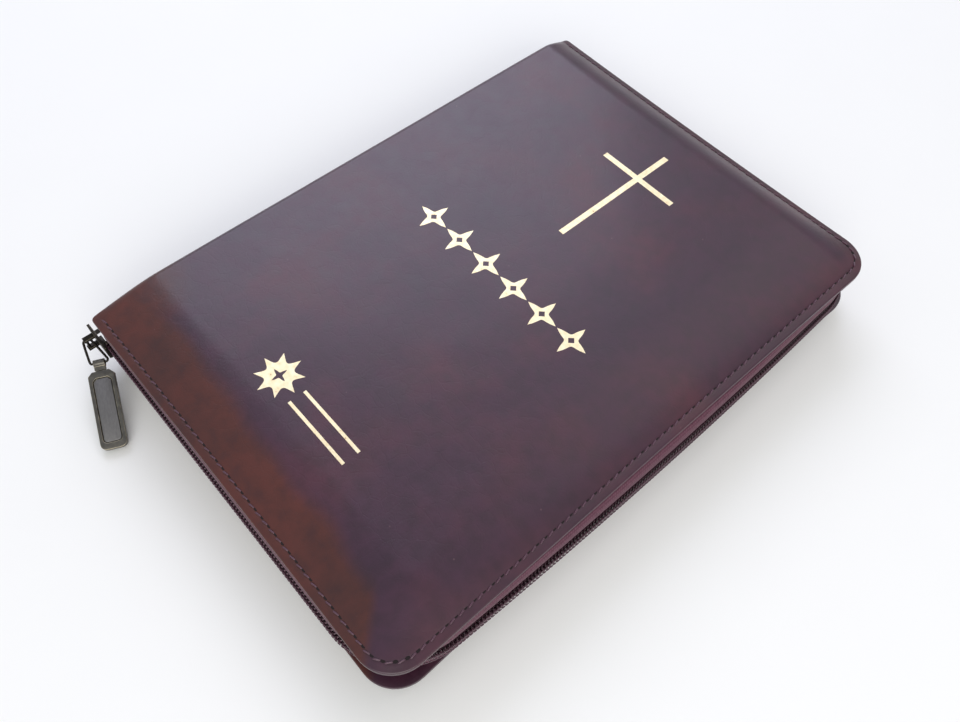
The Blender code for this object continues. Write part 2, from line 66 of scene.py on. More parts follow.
# The cover
cover_low, cover_high = box_mm("front_cover_leather")
HALF_WIDTH = cover_high.x
HALF_LENGTH = cover_high.y
THICKNESS = cover_high.z
MIDDLE = THICKNESS / 2
LIP_UNDER = cover_low.z
LIP_THICKNESS = 2.0
LIP_TOP = LIP_UNDER + LIP_THICKNESS
LIP_DROP = THICKNESS - LIP_TOP
SPINE_X = box_mm("spine_leather")[0].x
CORNER_RADIUS = 13.5
SPINE_CORNER_RADIUS = 1.5
STITCH_INSET = 3.0
STITCH_RISE = 0.13
SPINE_ROUND = 3.5
SPINE_EDGE_DROP = 3.1
SKIN = 1.2
EDGE_ROUND = 0.45
TURNED_EDGE = 10.5
POCKET_INSET = 13.6
BOARD_CORNER = 12.0
POCKET_FLOOR = box_mm("front_lining")[0].z
FLAP_END = 116.5
FLAP_EASE = 3.5
HEAD_BOW = 0.8
TAIL_BOW = 0.4
FORE_BOW = 0.5
BACK_FORE_BOW = 1.6

# How finely the leather is divided
CORNER_STEPS = 14
SPINE_CORNER_STEPS = 4
ACROSS_STEPS = 110
FORE_STEPS = 150
PATCH_ACROSS = SPINE_CORNER_STEPS // 2 + ACROSS_STEPS + CORNER_STEPS // 2
PATCH_ALONG = CORNER_STEPS + FORE_STEPS
SPINE_STEPS = PATCH_ALONG - SPINE_CORNER_STEPS

# The zip: its line is the cover's outline with wider corners
tape_low, tape_high = box_mm("upper_zip_tape")
ZIP_START_X = box_mm("upper_zip_coil")[0].x
ZIP_CORNER_RADIUS = 27.0
# The closed pages push the chain out by this much in the middle of the fore-edge, and the tape less and less
# towards its lip
ZIP_BULGE = 1.7
BULGE_FADE = 0.12
TAPE_OFFSET = HALF_WIDTH - tape_high.x
TAPE_REACH = 8.4
TOOTH_PITCH = 1.44
COIL_WIRE = 0.3
COIL_HEIGHT = 2.7

# Sewing
STITCH_PITCH = 3.66
STITCH_LENGTH = 2.4
STITCH_SLANT = 14.0
THREAD = 0.27
HOLE_HALF_LENGTH = 0.86
HOLE_HALF_WIDTH = 0.58
SEAM_START_X = -79.0

# Pages
LEAVES_PER_SIGNATURE = 24
PAGES_CORNER = 6.0
WRAP_PITCH = 0.9

# Foil
FOIL_PROUD = 0.05
SORTING_DIGITS = 8
CROSS_STROKE = 2.4
CROSS_BAR_Y = 75.4
STAR_WAIST = 2.5
ROSETTE_WAIST = 5.2

# Where the cover is browner along the tail, partly real rubbing and partly painted shade where the tail slope
# misses the window's reflection: the band narrows towards the fore-edge, and its edge wanders
BURNISH_AND_SHADE_DEPTH = 17.0
BURNISH_AND_SHADE_TAPER = 0.035
BURNISH_AND_SHADE_WANDER = 3.0

# The leather's colours
WINE_DARK = "#2f1029"
WINE = "#38142c"
WINE_LIGHT = "#44182b"
# Chestnut: the browner band, partly rubbed leather and partly painted shade
CHESTNUT_DARK = "#3f130d"
CHESTNUT = "#4b180e"
CHESTNUT_LIGHT = "#531c12"

# The camera, in metres and degrees
CAMERA_PLACE = Vector((0.1302, -0.1339, 0.2777))
CAMERA_AZIMUTH = 45.83
CAMERA_ELEVATION = 58.26
CAMERA_ROLL = 2.94
LENS = 31.68


# ---------------------------------------------------------------- meshes


def linked(name, data):
    obj = bpy.data.objects.new(name, data)
    bpy.context.scene.collection.objects.link(obj)
    return obj


def smooth(mesh, angle=40.0):
    mesh.shade_smooth()
    mesh.set_sharp_from_angle(angle=math.radians(angle))


def mesh_piece(name, points, faces, finish, angle=40.0):
    """A closed piece from points in millimetres, with its faces turned outwards."""
    mesh = bpy.data.meshes.new(name)
    mesh.from_pydata([tuple(p) for p in np.asarray(points, float) * MM], [], faces)
    work = bmesh.new()
    work.from_mesh(mesh)
    bmesh.ops.recalc_face_normals(work, faces=work.faces)
    work.to_mesh(mesh)
    work.free()
    smooth(mesh, angle)
    mesh.materials.append(finish)
    return linked(name, mesh)


def ring_faces(rings, count, closed=True):
    """Quads between rings of equally many points. An open section leaves its last point unjoined."""
    faces = []
    last = count if closed else count - 1
    for row in range(rings - 1):
        base = row * count
        for i in range(last):
            j = (i + 1) % count
            faces.append((base + i, base + j, base + count + j, base + count + i))
    return faces


def swept(name, rings, finish, angle=40.0):
    """A closed tube through rings of points, capped at both ends."""
    rings = np.asarray(rings, float)
    count = rings.shape[1]
    total = rings.shape[0] * count
    faces = ring_faces(len(rings), count)
    faces.append(tuple(range(count)))
    faces.append(tuple(range(total - count, total)))
    return mesh_piece(name, rings.reshape(-1, 3), faces, finish, angle)


def arc(cx, cy, radius, start, end, steps):
    angles = np.radians(np.linspace(start, end, steps + 1))
    return np.stack([cx + radius * np.cos(angles), cy + radius * np.sin(angles)], axis=1)


def between(first, last, steps):
    """The points inside a straight stretch, without its ends."""
    shares = np.linspace(0, 1, steps + 1)[1:-1, None]
    return first + (last - first) * shares


def smoothstep(t):
    t = np.clip(t, 0.0, 1.0)
    return t * t * (3 - 2 * t)


# ---------------------------------------------------------------- the shape of the cover


def rounded_depth(x, y, radius):
    """Distance inside an outline with the cover's three free sides and corners of this radius."""
    across = x - (HALF_WIDTH - radius)
    along = np.abs(y) - (HALF_LENGTH - radius)
    in_corner = (across > 0) & (along > 0)
    corner = radius - np.hypot(across, along)
    return np.where(in_corner, corner, np.minimum(HALF_WIDTH - x, HALF_LENGTH - np.abs(y)))


def roll(depth, width, sharpness):
    """How far a padded side has risen this far inside the stitches, from 0 to 1: quickly at first, then
    gently."""
    return 1 - (1 - np.clip((depth - STITCH_INSET) / width, 0, 1)) ** sharpness


def padding_share(x, y):
    """How far the padding has risen from the lip. The fore-edge rolls over gently, but less so by the
    tail."""
    low = STITCH_RISE * np.clip(rounded_depth(x, y, CORNER_RADIUS) / STITCH_INSET, 0, 1)
    eased = smoothstep((y + HALF_LENGTH - 25) / 70)
    fore = roll(HALF_WIDTH - x, 18 + 16 * eased, 1.6 + eased)
    tail = roll(HALF_LENGTH + y, 24, 1.6)
    head = roll(HALF_LENGTH - y, 12, 1.5)
    return low + (1 - STITCH_RISE) * fore * tail * head


def spine_drop(x):
    """How far the cover rounds down towards the spine."""
    left = SPINE_ROUND - np.clip(x - SPINE_X, 0, SPINE_ROUND)
    return SPINE_EDGE_DROP * (1 - np.sqrt(1 - (left / SPINE_ROUND) ** 2))


def waves(x, y):
    """The slow unevenness of leather glued over foam, seeded by its place."""
    places = zip(np.ravel(x), np.ravel(y))
    heights = [
        0.16 * noise.noise(Vector((px / 46, py / 46, 3.1)))
        + 0.05 * noise.noise(Vector((px / 15, py / 15, 7.7)))
        for px, py in places
    ]
    return np.array(heights).reshape(np.shape(x))


def leather_height(x, y):
    """Height of the front cover's outer surface."""
    depth = rounded_depth(x, y, CORNER_RADIUS)
    share = padding_share(x, y)
    rise = LIP_DROP * share * (1 - spine_drop(x) / LIP_DROP)
    groove = 0.13 * np.exp(-(((depth - STITCH_INSET) / 0.5) ** 2)) * smoothstep((x - SPINE_X - 2) / 2)
    return LIP_TOP + rise - groove + waves(x, y) * smoothstep(share)


def bowed(points, is_back=False):
    """Draws the three free edges in a little between their corners, as the tension of the zip does."""
    fore_bow = BACK_FORE_BOW if is_back else FORE_BOW
    x = points[..., 0]
    y = points[..., 1]
    end_bow = np.where(y > 0, HEAD_BOW, TAIL_BOW)
    shift_y = end_bow * (1 - np.clip(x / HALF_WIDTH, -1, 1) ** 2) * (np.abs(y) / HALF_LENGTH) ** 3
    shift_x = fore_bow * (1 - np.clip(y / HALF_LENGTH, -1, 1) ** 2) * (np.clip(x, 0, None) / HALF_WIDTH) ** 3
    result = points.copy()
    result[..., 0] = x - shift_x
    result[..., 1] = y - np.sign(y) * shift_y
    return result


def plan_ring(inset, spine_inset, corner=1.0):
    """The cover's plan drawn in by inset, and by spine_inset at the spine, with corners of at least this
    radius. It starts at the tail's spine corner."""
    right = HALF_WIDTH - inset
    top = HALF_LENGTH - inset
    left = SPINE_X + spine_inset
    fore = max(CORNER_RADIUS - inset, corner)
    back = SPINE_CORNER_RADIUS
    corners = [
        arc(left + back, -top + back, back, 180, 270, SPINE_CORNER_STEPS),
        arc(right - fore, -top + fore, fore, 270, 360, CORNER_STEPS),
        arc(right - fore, top - fore, fore, 0, 90, CORNER_STEPS),
        arc(left + back, top - back, back, 90, 180, SPINE_CORNER_STEPS),
    ]
    steps = [ACROSS_STEPS, FORE_STEPS, ACROSS_STEPS, SPINE_STEPS]
    parts = []
    for i, corner in enumerate(corners):
        parts.append(corner)
        parts.append(between(corner[-1], corners[(i + 1) % 4][0], steps[i]))
    return np.roll(np.concatenate(parts), -(SPINE_CORNER_STEPS // 2), axis=0)


RING_COUNT = 2 * (PATCH_ACROSS + PATCH_ALONG)
first_spine_point = RING_COUNT - SPINE_CORNER_STEPS // 2 - SPINE_STEPS + 1
ON_SPINE = np.zeros(RING_COUNT)
ON_SPINE[first_spine_point : first_spine_point + SPINE_STEPS - 1] = 1.0


def patch(boundary):
    """A grid of points over the plan inside a ring, each line running from side to side."""
    a = PATCH_ACROSS
    b = PATCH_ALONG
    closed = np.concatenate([boundary, boundary[:1]])
    tail = closed[: a + 1][:, None]
    fore = closed[a : a + b + 1][None]
    head = closed[a + b : 2 * a + b + 1][::-1][:, None]
    spine = closed[2 * a + b :][::-1][None]
    u = np.linspace(0, 1, a + 1)[:, None, None]
    v = np.linspace(0, 1, b + 1)[None, :, None]
    corners = (
        (1 - u) * (1 - v) * tail[:1] + u * (1 - v) * tail[-1:]
        + (1 - u) * v * head[:1] + u * v * head[-1:]
    )
    return (1 - v) * tail + v * head + (1 - u) * spine + u * fore - corners


def outer_rings():
    """Rings of the outer face, from the flat top out to the lip, as insets and drops below the surface."""
    inner = [(4.2 + 15.8 * (i / 12) ** 1.4, 0.0) for i in range(12, 0, -1)]
    stitched = [(0.3 * i, 0.0) for i in range(14, 1, -1)]
    turns = [math.radians(a) for a in (90, 65, 40, 20, 0)]
    rounded = [(EDGE_ROUND * (1 - math.cos(a)), EDGE_ROUND * (1 - math.sin(a))) for a in turns]
    lips = inner + stitched + rounded
    bend = len(stitched) + len(rounded)
    spine = [SPINE_ROUND + 4.5 * i / 12 for i in range(12, 0, -1)]
    spine += [SPINE_ROUND * (1 - math.cos(math.pi / 2 * i / (bend - 1))) for i in range(bend - 1, -1, -1)]
    return [(inset, drop, at_spine) for (inset, drop), at_spine in zip(lips, spine)]


# The lip's edge and underside, as insets and heights under the lip's top: the outer leather, a seam, the
# turned inner leather, then the underside as it rises to the board.
LIP_PROFILE = (
    (0.0, -0.9),
    (0.12, -1.0),
    (0.4, -1.04),
    (0.4, -1.14),
    (0.14, -1.18),
    (0.02, -1.35),
    (0.02, -1.75),
    (0.2, -1.95),
    (0.6, -2.0),
    (3.2, -2.0),
    (4.6, -1.9),
    (6.4, -1.3),
    (8.4, -0.6),
    (TURNED_EDGE, -0.2),
)
LIP_PROFILE_AT_SPINE = (0.0, 0.12, 0.4, 0.4, 0.14, 0.02, 0.02, 0.2, 0.6, 2.3, 2.4, 2.5, 2.6, 2.7)


def flap_profile():
    """The spine's leather beside LIP_PROFILE: down to mid-height, across its thickness and up inside."""
    down = [(0.0, i / 7) for i in range(1, 8)]
    up = [(SKIN, 1 - i / 7) for i in range(7)]
    return down + up


def cover_rings():
    """Every ring of one cover's leather, in order, from the flat top round to the pocket for the board."""
    rings = []
    for inset, drop, at_spine in outer_rings():
        plan = plan_ring(inset, at_spine)
        height = leather_height(plan[:, 0], plan[:, 1]) - drop * (1 - ON_SPINE)
        rings.append(np.column_stack([plan, height]))
    edge = rings[-1]
    share = ON_SPINE * smoothstep((FLAP_END - np.abs(edge[:, 1])) / FLAP_EASE)
    rows = zip(LIP_PROFILE, LIP_PROFILE_AT_SPINE, flap_profile())
    for (inset, height), at_spine, (flap_inset, down) in rows:
        plan = plan_ring(inset, at_spine)
        lip_height = np.minimum(LIP_TOP + height, edge[:, 2] - 0.02)
        start = edge[:, 2] if flap_inset == 0 else POCKET_FLOOR - 0.1
        flap_height = start + (MIDDLE - start) * down
        ring = np.column_stack([plan, lip_height])
        ring[:, 0] = ring[:, 0] + share * (flap_inset - at_spine)
        ring[:, 2] = ring[:, 2] + share * (flap_height - lip_height)
        rings.append(ring)
    for inset, at_spine in ((TURNED_EDGE + 1.5, 2.8), (POCKET_INSET, 2.9)):
        plan = plan_ring(inset, at_spine)
        rings.append(np.column_stack([plan, np.full(RING_COUNT, POCKET_FLOOR)]))
    for inset, at_spine in ((POCKET_INSET, 2.9), (18.0, 6.0)):
        plan = plan_ring(inset, at_spine)
        rings.append(np.column_stack([plan, leather_height(plan[:, 0], plan[:, 1]) - SKIN]))
    return rings


def crowned(name, rings, below, finish, is_back):
    """A closed skin through rings, whose inner one is spanned by a sheet this far below the leather's
    surface."""
    grid = patch(rings[0][:, :2])
    height = leather_height(grid[..., 0], grid[..., 1]) - below
    inside = np.dstack([grid, height])[1:-1, 1:-1]
    points = np.concatenate([np.concatenate(rings), inside.reshape(-1, 3)])
    faces = ring_faces(len(rings), RING_COUNT)
    index = np.zeros((PATCH_ACROSS + 1, PATCH_ALONG + 1), int)
    a = PATCH_ACROSS
    b = PATCH_ALONG
    index[: a + 1, 0] = np.arange(a + 1)
    index[a, : b + 1] = np.arange(a, a + b + 1)
    index[::-1, b] = np.arange(a + b, 2 * a + b + 1)
    index[0, ::-1] = np.append(np.arange(2 * a + b, RING_COUNT), 0)
    first = len(rings) * RING_COUNT
    index[1:-1, 1:-1] = first + np.arange((a - 1) * (b - 1)).reshape(a - 1, b - 1)
    for i in range(a):
        for j in range(b):
            faces.append((index[i, j], index[i + 1, j], index[i + 1, j + 1], index[i, j + 1]))
    faces.append(tuple(range(first - RING_COUNT, first)))
    # Where the leather shows browner: partly rubbing, partly painted shade
    burnish_and_shade = cover_burnish_and_shade(points)
    points = bowed(points, is_back)
    if is_back:
        points[:, 2] = THICKNESS - points[:, 2]
    piece = mesh_piece(name, points, faces, finish, angle=35)
    keep_place(piece.data)
    store(piece.data, "burnish_and_shade", "FLOAT", burnish_and_shade)
    return piece


def cover_burnish_and_shade(points):
    """Where the edges show browner, partly from hand-rubbing and partly as painted shade where the slopes miss
    the window's reflection: a wide band along the tail, and a trace at the head and fore-edge."""
    x, y = points[:, 0], points[:, 1]
    wander = np.array([noise.noise(Vector((px / 18, py / 18, 1.3))) for px, py in zip(x, y)])
    to_mitre = smoothstep((HALF_WIDTH - x - 0.9 * (y + HALF_LENGTH) - 7) / 6)
    depth = y + HALF_LENGTH + BURNISH_AND_SHADE_TAPER * (x - SPINE_X)
    tail = to_mitre * (1 - smoothstep((depth - BURNISH_AND_SHADE_DEPTH - BURNISH_AND_SHADE_WANDER * wander) / 8))
    spine_end = 0.9 * (1 - smoothstep((np.hypot(x - SPINE_X, (y + HALF_LENGTH) * 0.8) - 20) / 14))
    head = 0.3 * (1 - smoothstep((HALF_LENGTH - y - 5 - BURNISH_AND_SHADE_WANDER * wander) / 6))
    fore = 0.12 * (1 - smoothstep((HALF_WIDTH - x - 4 - BURNISH_AND_SHADE_WANDER * wander) / 8))
    return np.clip(np.maximum.reduce([tail, spine_end, head, fore]), 0, 1)


def store(mesh, name, kind, values):
    attribute = mesh.attributes.new(name, kind, "POINT")
    field = "vector" if kind == "FLOAT_VECTOR" else "value"
    attribute.data.foreach_set(field, np.asarray(values, np.float32).ravel())


def keep_place(mesh):
    """Keeps each point's place at rest, so that a pattern stays on leather that bends."""
    places = np.zeros(len(mesh.vertices) * 3, np.float32)
    mesh.vertices.foreach_get("co", places)
    store(mesh, "place", "FLOAT_VECTOR", places)


# ---------------------------------------------------------------- nodes


def srgb(code):
    """A linear colour from an sRGB hex code."""
    parts = [int(code[i : i + 2], 16) / 255 for i in (1, 3, 5)]
    linear = [c / 12.92 if c <= 0.04045 else ((c + 0.055) / 1.055) ** 2.4 for c in parts]
    return (*linear, 1.0)


def add(tree, kind, inputs=None, **settings):
    """Adds a node, sets its settings, and fills or links its inputs."""
    made = tree.nodes.new(kind)
    for name, value in settings.items():
        setattr(made, name, value)
    for name, value in (inputs or {}).items():
        if isinstance(value, bpy.types.NodeSocket):
            tree.links.new(value, made.inputs[name])
        else:
            made.inputs[name].default_value = value
    return made


def ramp(tree, factor, stops):
    """A colour ramp through (position, hex code) stops."""
    made = add(tree, "ShaderNodeValToRGB", {"Fac": factor})
    elements = made.color_ramp.elements
    while len(elements) < len(stops):
        elements.new(0.5)
    for element, (position, code) in zip(elements, stops):
        element.position = position
        element.color = srgb(code)
    return made.outputs["Color"]


def new_finish(name):
    """An empty material, its tree and its Principled shader."""
    finish = bpy.data.materials.new(name)
    finish.use_nodes = True
    return finish, finish.node_tree, finish.node_tree.nodes["Principled BSDF"]


def per_mm(size):
    """The texture scale whose features are this many millimetres apart."""
    return 1 / (size * MM)


# ---------------------------------------------------------------- repeats along a line and in a stack


def as_piece(name, source, tree, inputs):
    """Runs a node tree on a mesh and keeps the result as a plain piece."""
    helper = linked(name + "_source", source)
    modifier = helper.modifiers.new("Nodes", "NODES")
    modifier.node_group = tree
    sockets = {item.name: item.identifier for item in tree.interface.items_tree if item.in_out == "INPUT"}
    for label, value in inputs.items():
        modifier[sockets[label]] = value
    bpy.context.view_layer.update()
    graph = bpy.context.evaluated_depsgraph_get()
    mesh = bpy.data.meshes.new_from_object(helper.evaluated_get(graph))
    helper.modifiers.remove(modifier)
    bpy.data.objects.remove(helper)
    mesh.name = name
    smooth(mesh)
    return linked(name, mesh)


def new_tree(name, inputs):
    """A geometry tree with named inputs, and its input node."""
    tree = bpy.data.node_groups.new(name, "GeometryNodeTree")
    tree.interface.new_socket("Geometry", in_out="OUTPUT", socket_type="NodeSocketGeometry")
    for label, kind in {"Geometry": "Geometry", **inputs}.items():
        tree.interface.new_socket(label, in_out="INPUT", socket_type="NodeSocket" + kind)
    return tree, add(tree, "NodeGroupInput").outputs


def close_tree(tree, instances, finish):
    """Ends a tree by making its instances real and giving them their finish."""
    real = add(tree, "GeometryNodeRealizeInstances", {"Geometry": instances})
    done = add(tree, "GeometryNodeSetMaterial", {"Geometry": real.outputs["Geometry"], "Material": finish})
    add(tree, "NodeGroupOutput", {"Geometry": done.outputs["Geometry"]})


def path_tree(pivot):
    """Sets copies of an item along a line at a pitch. The item's X runs along the line."""
    tree, given = new_tree("items_along_a_line", {"Item": "Object", "Pitch": "Float", "Finish": "Material"})
    curve = add(tree, "GeometryNodeMeshToCurve", {"Mesh": given["Geometry"]}).outputs["Curve"]
    even = add(tree, "GeometryNodeResampleCurve", {"Curve": curve, "Length": given["Pitch"]}, mode="LENGTH")
    tangent = add(tree, "GeometryNodeInputTangent").outputs["Tangent"]
    turn = add(tree, "FunctionNodeAlignRotationToVector", {"Vector": tangent}, axis="X", pivot_axis=pivot)
    item = add(tree, "GeometryNodeObjectInfo", {"Object": given["Item"]}).outputs["Geometry"]
    spread = add(
        tree,
        "GeometryNodeInstanceOnPoints",
        {"Points": even.outputs["Curve"], "Instance": item, "Rotation": turn.outputs["Rotation"]},
    )
    close_tree(tree, spread.outputs["Instances"], given["Finish"])
    return tree


def stack_tree():
    """Piles copies of a leaf, each shifted a little, as the leaves of a handled book lie."""
    kinds = {"Leaf": "Object", "Count": "Int", "Rise": "Vector", "Looseness": "Float", "Seed": "Int"}
    tree, given = new_tree("leaves_in_a_signature", {**kinds, "Finish": "Material"})
    line = add(
        tree, "GeometryNodeMeshLine", {"Count": given["Count"], "Offset": given["Rise"]}, mode="OFFSET"
    )
    slip = add(
        tree,
        "FunctionNodeRandomValue",
        {"Min": (-1.0, -1.0, 0.0), "Max": (0.0, 1.0, 0.0), "Seed": given["Seed"]},
        data_type="FLOAT_VECTOR",
    )
    shift = add(
        tree, "ShaderNodeVectorMath", {0: slip.outputs["Value"], "Scale": given["Looseness"]},
        operation="SCALE",
    )
    placed = add(
        tree,
        "GeometryNodeSetPosition",
        {"Geometry": line.outputs["Mesh"], "Offset": shift.outputs["Vector"]},
    )
    leaf = add(tree, "GeometryNodeObjectInfo", {"Object": given["Leaf"]}).outputs["Geometry"]
    pile = add(
        tree,
        "GeometryNodeInstanceOnPoints",
        {"Points": placed.outputs["Geometry"], "Instance": leaf},
    )
    close_tree(tree, pile.outputs["Instances"], given["Finish"])
    return tree


def line_mesh(name, points):
    """A bare line through points in millimetres, which items are set along."""
    mesh = bpy.data.meshes.new(name)
    edges = [(i, i + 1) for i in range(len(points) - 1)]
    mesh.from_pydata([tuple(p) for p in np.asarray(points, float) * MM], edges, [])
    return mesh


def along(name, points, item, pitch, tree, finish):
    inputs = {"Item": item, "Pitch": pitch * MM, "Finish": finish}
    return as_piece(name, line_mesh(name, points), tree, inputs)


def tube(points, radius, flat, sides=6, taper=1.0):
    """Rings of a round wire through points, which lie in or near the plane square to flat."""
    points = np.asarray(points, float)
    ahead = np.gradient(points, axis=0)
    ahead /= np.linalg.norm(ahead, axis=1)[:, None]
    flat = np.asarray(flat, float)
    rings = []
    for i, (centre, direction) in enumerate(zip(points, ahead)):
        side = np.cross(direction, flat)
        side /= np.linalg.norm(side)
        up = np.cross(side, direction)
        size = radius * (taper if i in (0, len(points) - 1) else 1.0)
        turns = 2 * np.pi * np.arange(sides)[:, None] / sides
        rings.append(centre + size * (np.cos(turns) * side + np.sin(turns) * up))
    return rings


# ---------------------------------------------------------------- the zip


def zip_line(offset, height, start_x=ZIP_START_X, bulge=0.0):
    """The zip's line round the tail, fore-edge and head, at this distance inside the cover's outline. The
    closed pages push it out along the fore-edge, by the bulge."""
    right = HALF_WIDTH - offset
    top = HALF_LENGTH - offset
    radius = ZIP_CORNER_RADIUS - offset
    corners = [
        arc(right - radius, -top + radius, radius, 270, 360, 24),
        arc(right - radius, top - radius, radius, 0, 90, 24),
    ]
    first = np.array([start_x, -top])
    last = np.array([start_x, top])
    parts = [first[None], between(first, corners[0][0], 40), corners[0]]
    parts += [between(corners[0][-1], corners[1][0], 60), corners[1]]
    parts += [between(corners[1][-1], last, 40), last[None]]
    plan = np.concatenate(parts)
    reach = 1 - np.clip(plan[:, 1] / (HALF_LENGTH - ZIP_CORNER_RADIUS), -1, 1) ** 2
    plan[:, 0] += bulge * reach * (plan[:, 0] > 0)
    return np.column_stack([plan, np.full(len(plan), height)])


def lip_underside(x, y):
    """Height of the upper lip's underside, which the tape is sewn to."""
    insets = [inset for inset, height in LIP_PROFILE if height <= -0.2 and inset >= 0.6]
    heights = [height for inset, height in LIP_PROFILE if height <= -0.2 and inset >= 0.6]
    return LIP_TOP + np.interp(rounded_depth(x, y, CORNER_RADIUS), insets, heights)


def tape_section():
    """The tape across its width: from the chain up the edge, then inwards under the lip. Each entry is an
    offset and either a height or, where that is None, a gap under the lip."""
    low = tape_low.z
    outer = [(0.0, low), (-0.15, low + 1.6), (-0.75, low + 3.2), (-1.05, low + 5.0), (-1.0, low + 6.6)]
    turned = [
        (-0.7, None, 0.4), (0.1, None, 0.14), (2.2, None, 0.12), (4.4, None, 0.12),
        (TAPE_REACH - 1.1, None, 0.12),
    ]
    back = [
        (TAPE_REACH - 1.1, None, 0.52), (4.4, None, 0.55), (2.4, None, 0.6), (0.8, None, 0.8),
        (0.0, None, 1.3),
    ]
    inner = [(-0.4, low + 5.2), (-0.2, low + 3.3), (0.4, low + 1.6), (0.6, low)]
    return [(TAPE_OFFSET + entry[0], *entry[1:]) for entry in outer + turned + back + inner]


def zip_tape(side, is_upper, finish, body):
    """One woven tape, sewn under the lip and running down to its chain."""
    columns = []
    for entry in tape_section():
        pushed = ZIP_BULGE * (1 - BULGE_FADE * max(entry[1] - tape_low.z - 2, 0)) if entry[1] else 0.0
        line = zip_line(entry[0], entry[1] or 0.0, ZIP_START_X, pushed)
        if entry[1] is None:
            line[:, 2] = lip_underside(line[:, 0], line[:, 1]) - entry[2]
        columns.append(line)
    rings = np.stack(columns, axis=1)
    travelled = np.concatenate([[0], np.cumsum(np.linalg.norm(np.diff(rings[:, 0], axis=0), axis=1))])
    around = np.concatenate([[0], np.cumsum(np.linalg.norm(np.diff(rings[0], axis=0), axis=1))])
    if not is_upper:
        rings[..., 2] = THICKNESS - rings[..., 2]
    piece = swept(f"{side}_tape", rings, finish)
    lay_uv(piece.data, np.repeat(travelled, len(around)), np.tile(around, len(travelled)))
    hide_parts(f"{side}_zip_tape")
    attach(piece, body)


def lay_uv(mesh, u, v):
    """Gives each point a place on the cloth, in metres along it and across it."""
    layer = mesh.uv_layers.new(name="cloth")
    corner = np.zeros(len(mesh.loops), np.int32)
    mesh.loops.foreach_get("vertex_index", corner)
    places = np.column_stack([np.asarray(u)[corner], np.asarray(v)[corner]]) * MM
    layer.data.foreach_set("uv", places.astype(np.float32).ravel())


def coil_turn(finish):
    """One turn of the nylon coil: a leg outside, the head that meshes, and the leg behind it."""
    leg = 0.55
    bend = arc(0.0, 0.0, leg, 180, 360, 6)
    outside = [(0.0, -leg, COIL_HEIGHT), (0.0, -leg, COIL_HEIGHT * 0.5)]
    head = [(0.06 * i, y, z - 0.15) for i, (y, z) in enumerate(bend)]
    inside = [(0.42, leg, COIL_HEIGHT * 0.5), (0.6, leg, COIL_HEIGHT)]
    item = swept("coil_turn", tube(outside + head + inside, COIL_WIRE, (1, 0, 0)), finish, 60)
    return item


def small_bar(name, length, radius, place, finish, bow=0.0):
    """A short rounded length of thread along X, bowed up in the middle."""
    steps = np.linspace(-0.5, 0.5, 7)
    points = [(place[0] + length * s, place[1], place[2] + bow * (1 - 4 * s * s)) for s in steps]
    return swept(name, tube(points, radius, (0, 1, 0), taper=0.45), finish, 60)


def zip_chain(side, is_upper, tree, finishes, body):
    """One half of the chain: the coil's turns, and the thread that sews them to the tape."""
    shift = 0.0 if is_upper else TOOTH_PITCH / 2
    line = zip_line(0.0, 0.0, ZIP_START_X + shift, ZIP_BULGE)
    turn = coil_turn(finishes["coil"])
    binding = small_bar("binding", TOOTH_PITCH * 0.86, 0.2, (0.3, -0.86, 1.75), finishes["thread"], 0.1)
    if not is_upper:
        for item in (turn, binding):
            item.data.transform(Matrix.Scale(-1, 4, (0, 0, 1)))
            item.data.flip_normals()
    line[:, 2] = MIDDLE
    coil = along(f"{side}_coil", line, turn, TOOTH_PITCH, tree, finishes["coil"])
    sewing = along(f"{side}_coil_sewing", line, binding, TOOTH_PITCH, tree, finishes["thread"])
    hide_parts(f"{side}_zip_coil")
    for piece, slot in ((coil, "zip_coil"), (sewing, "zip_tape")):
        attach(piece, body)
    for item in (turn, binding):
        bpy.data.objects.remove(item)


# ---------------------------------------------------------------- the seams


def seam_line(is_back):
    """The line of the stitches round the lips, on the outer face."""
    right = HALF_WIDTH - STITCH_INSET
    top = HALF_LENGTH - STITCH_INSET
    radius = CORNER_RADIUS - STITCH_INSET
    tail = arc(right - radius, -top + radius, radius, 270, 360, 20)
    head = arc(right - radius, top - radius, radius, 0, 90, 20)
    first = np.array([SEAM_START_X, -top])
    last = np.array([SEAM_START_X, top])
    sides = [
        between(first, tail[0], 120), tail, between(tail[-1], head[0], 180), head,
        between(head[-1], last, 120),
    ]
    plan = np.concatenate([first[None], *sides, last[None]])
    return bowed(np.column_stack([plan, leather_height(plan[:, 0], plan[:, 1])]), is_back)


def needle_hole(finish):
    """The needle hole where the thread goes down, drawn out along the seam, as a dark lens on the leather: its
    darkness is painted shade for the inside of the hole.
    """
    steps = np.linspace(0, 2 * np.pi, 9)[:-1]
    along_seam = STITCH_PITCH / 2 + HOLE_HALF_LENGTH * np.cos(steps)
    rim = np.column_stack([along_seam, HOLE_HALF_WIDTH * np.sin(steps), np.full(8, 0.0)])
    centre = rim.mean(axis=0)
    rings = [
        centre + (rim - centre) * 0.5 + (0, 0, -0.3),
        rim + (0, 0, 0.04),
        centre + (rim - centre) * 0.85 + (0, 0, 0.22),
    ]
    return swept("needle_hole", rings, finish, 60)


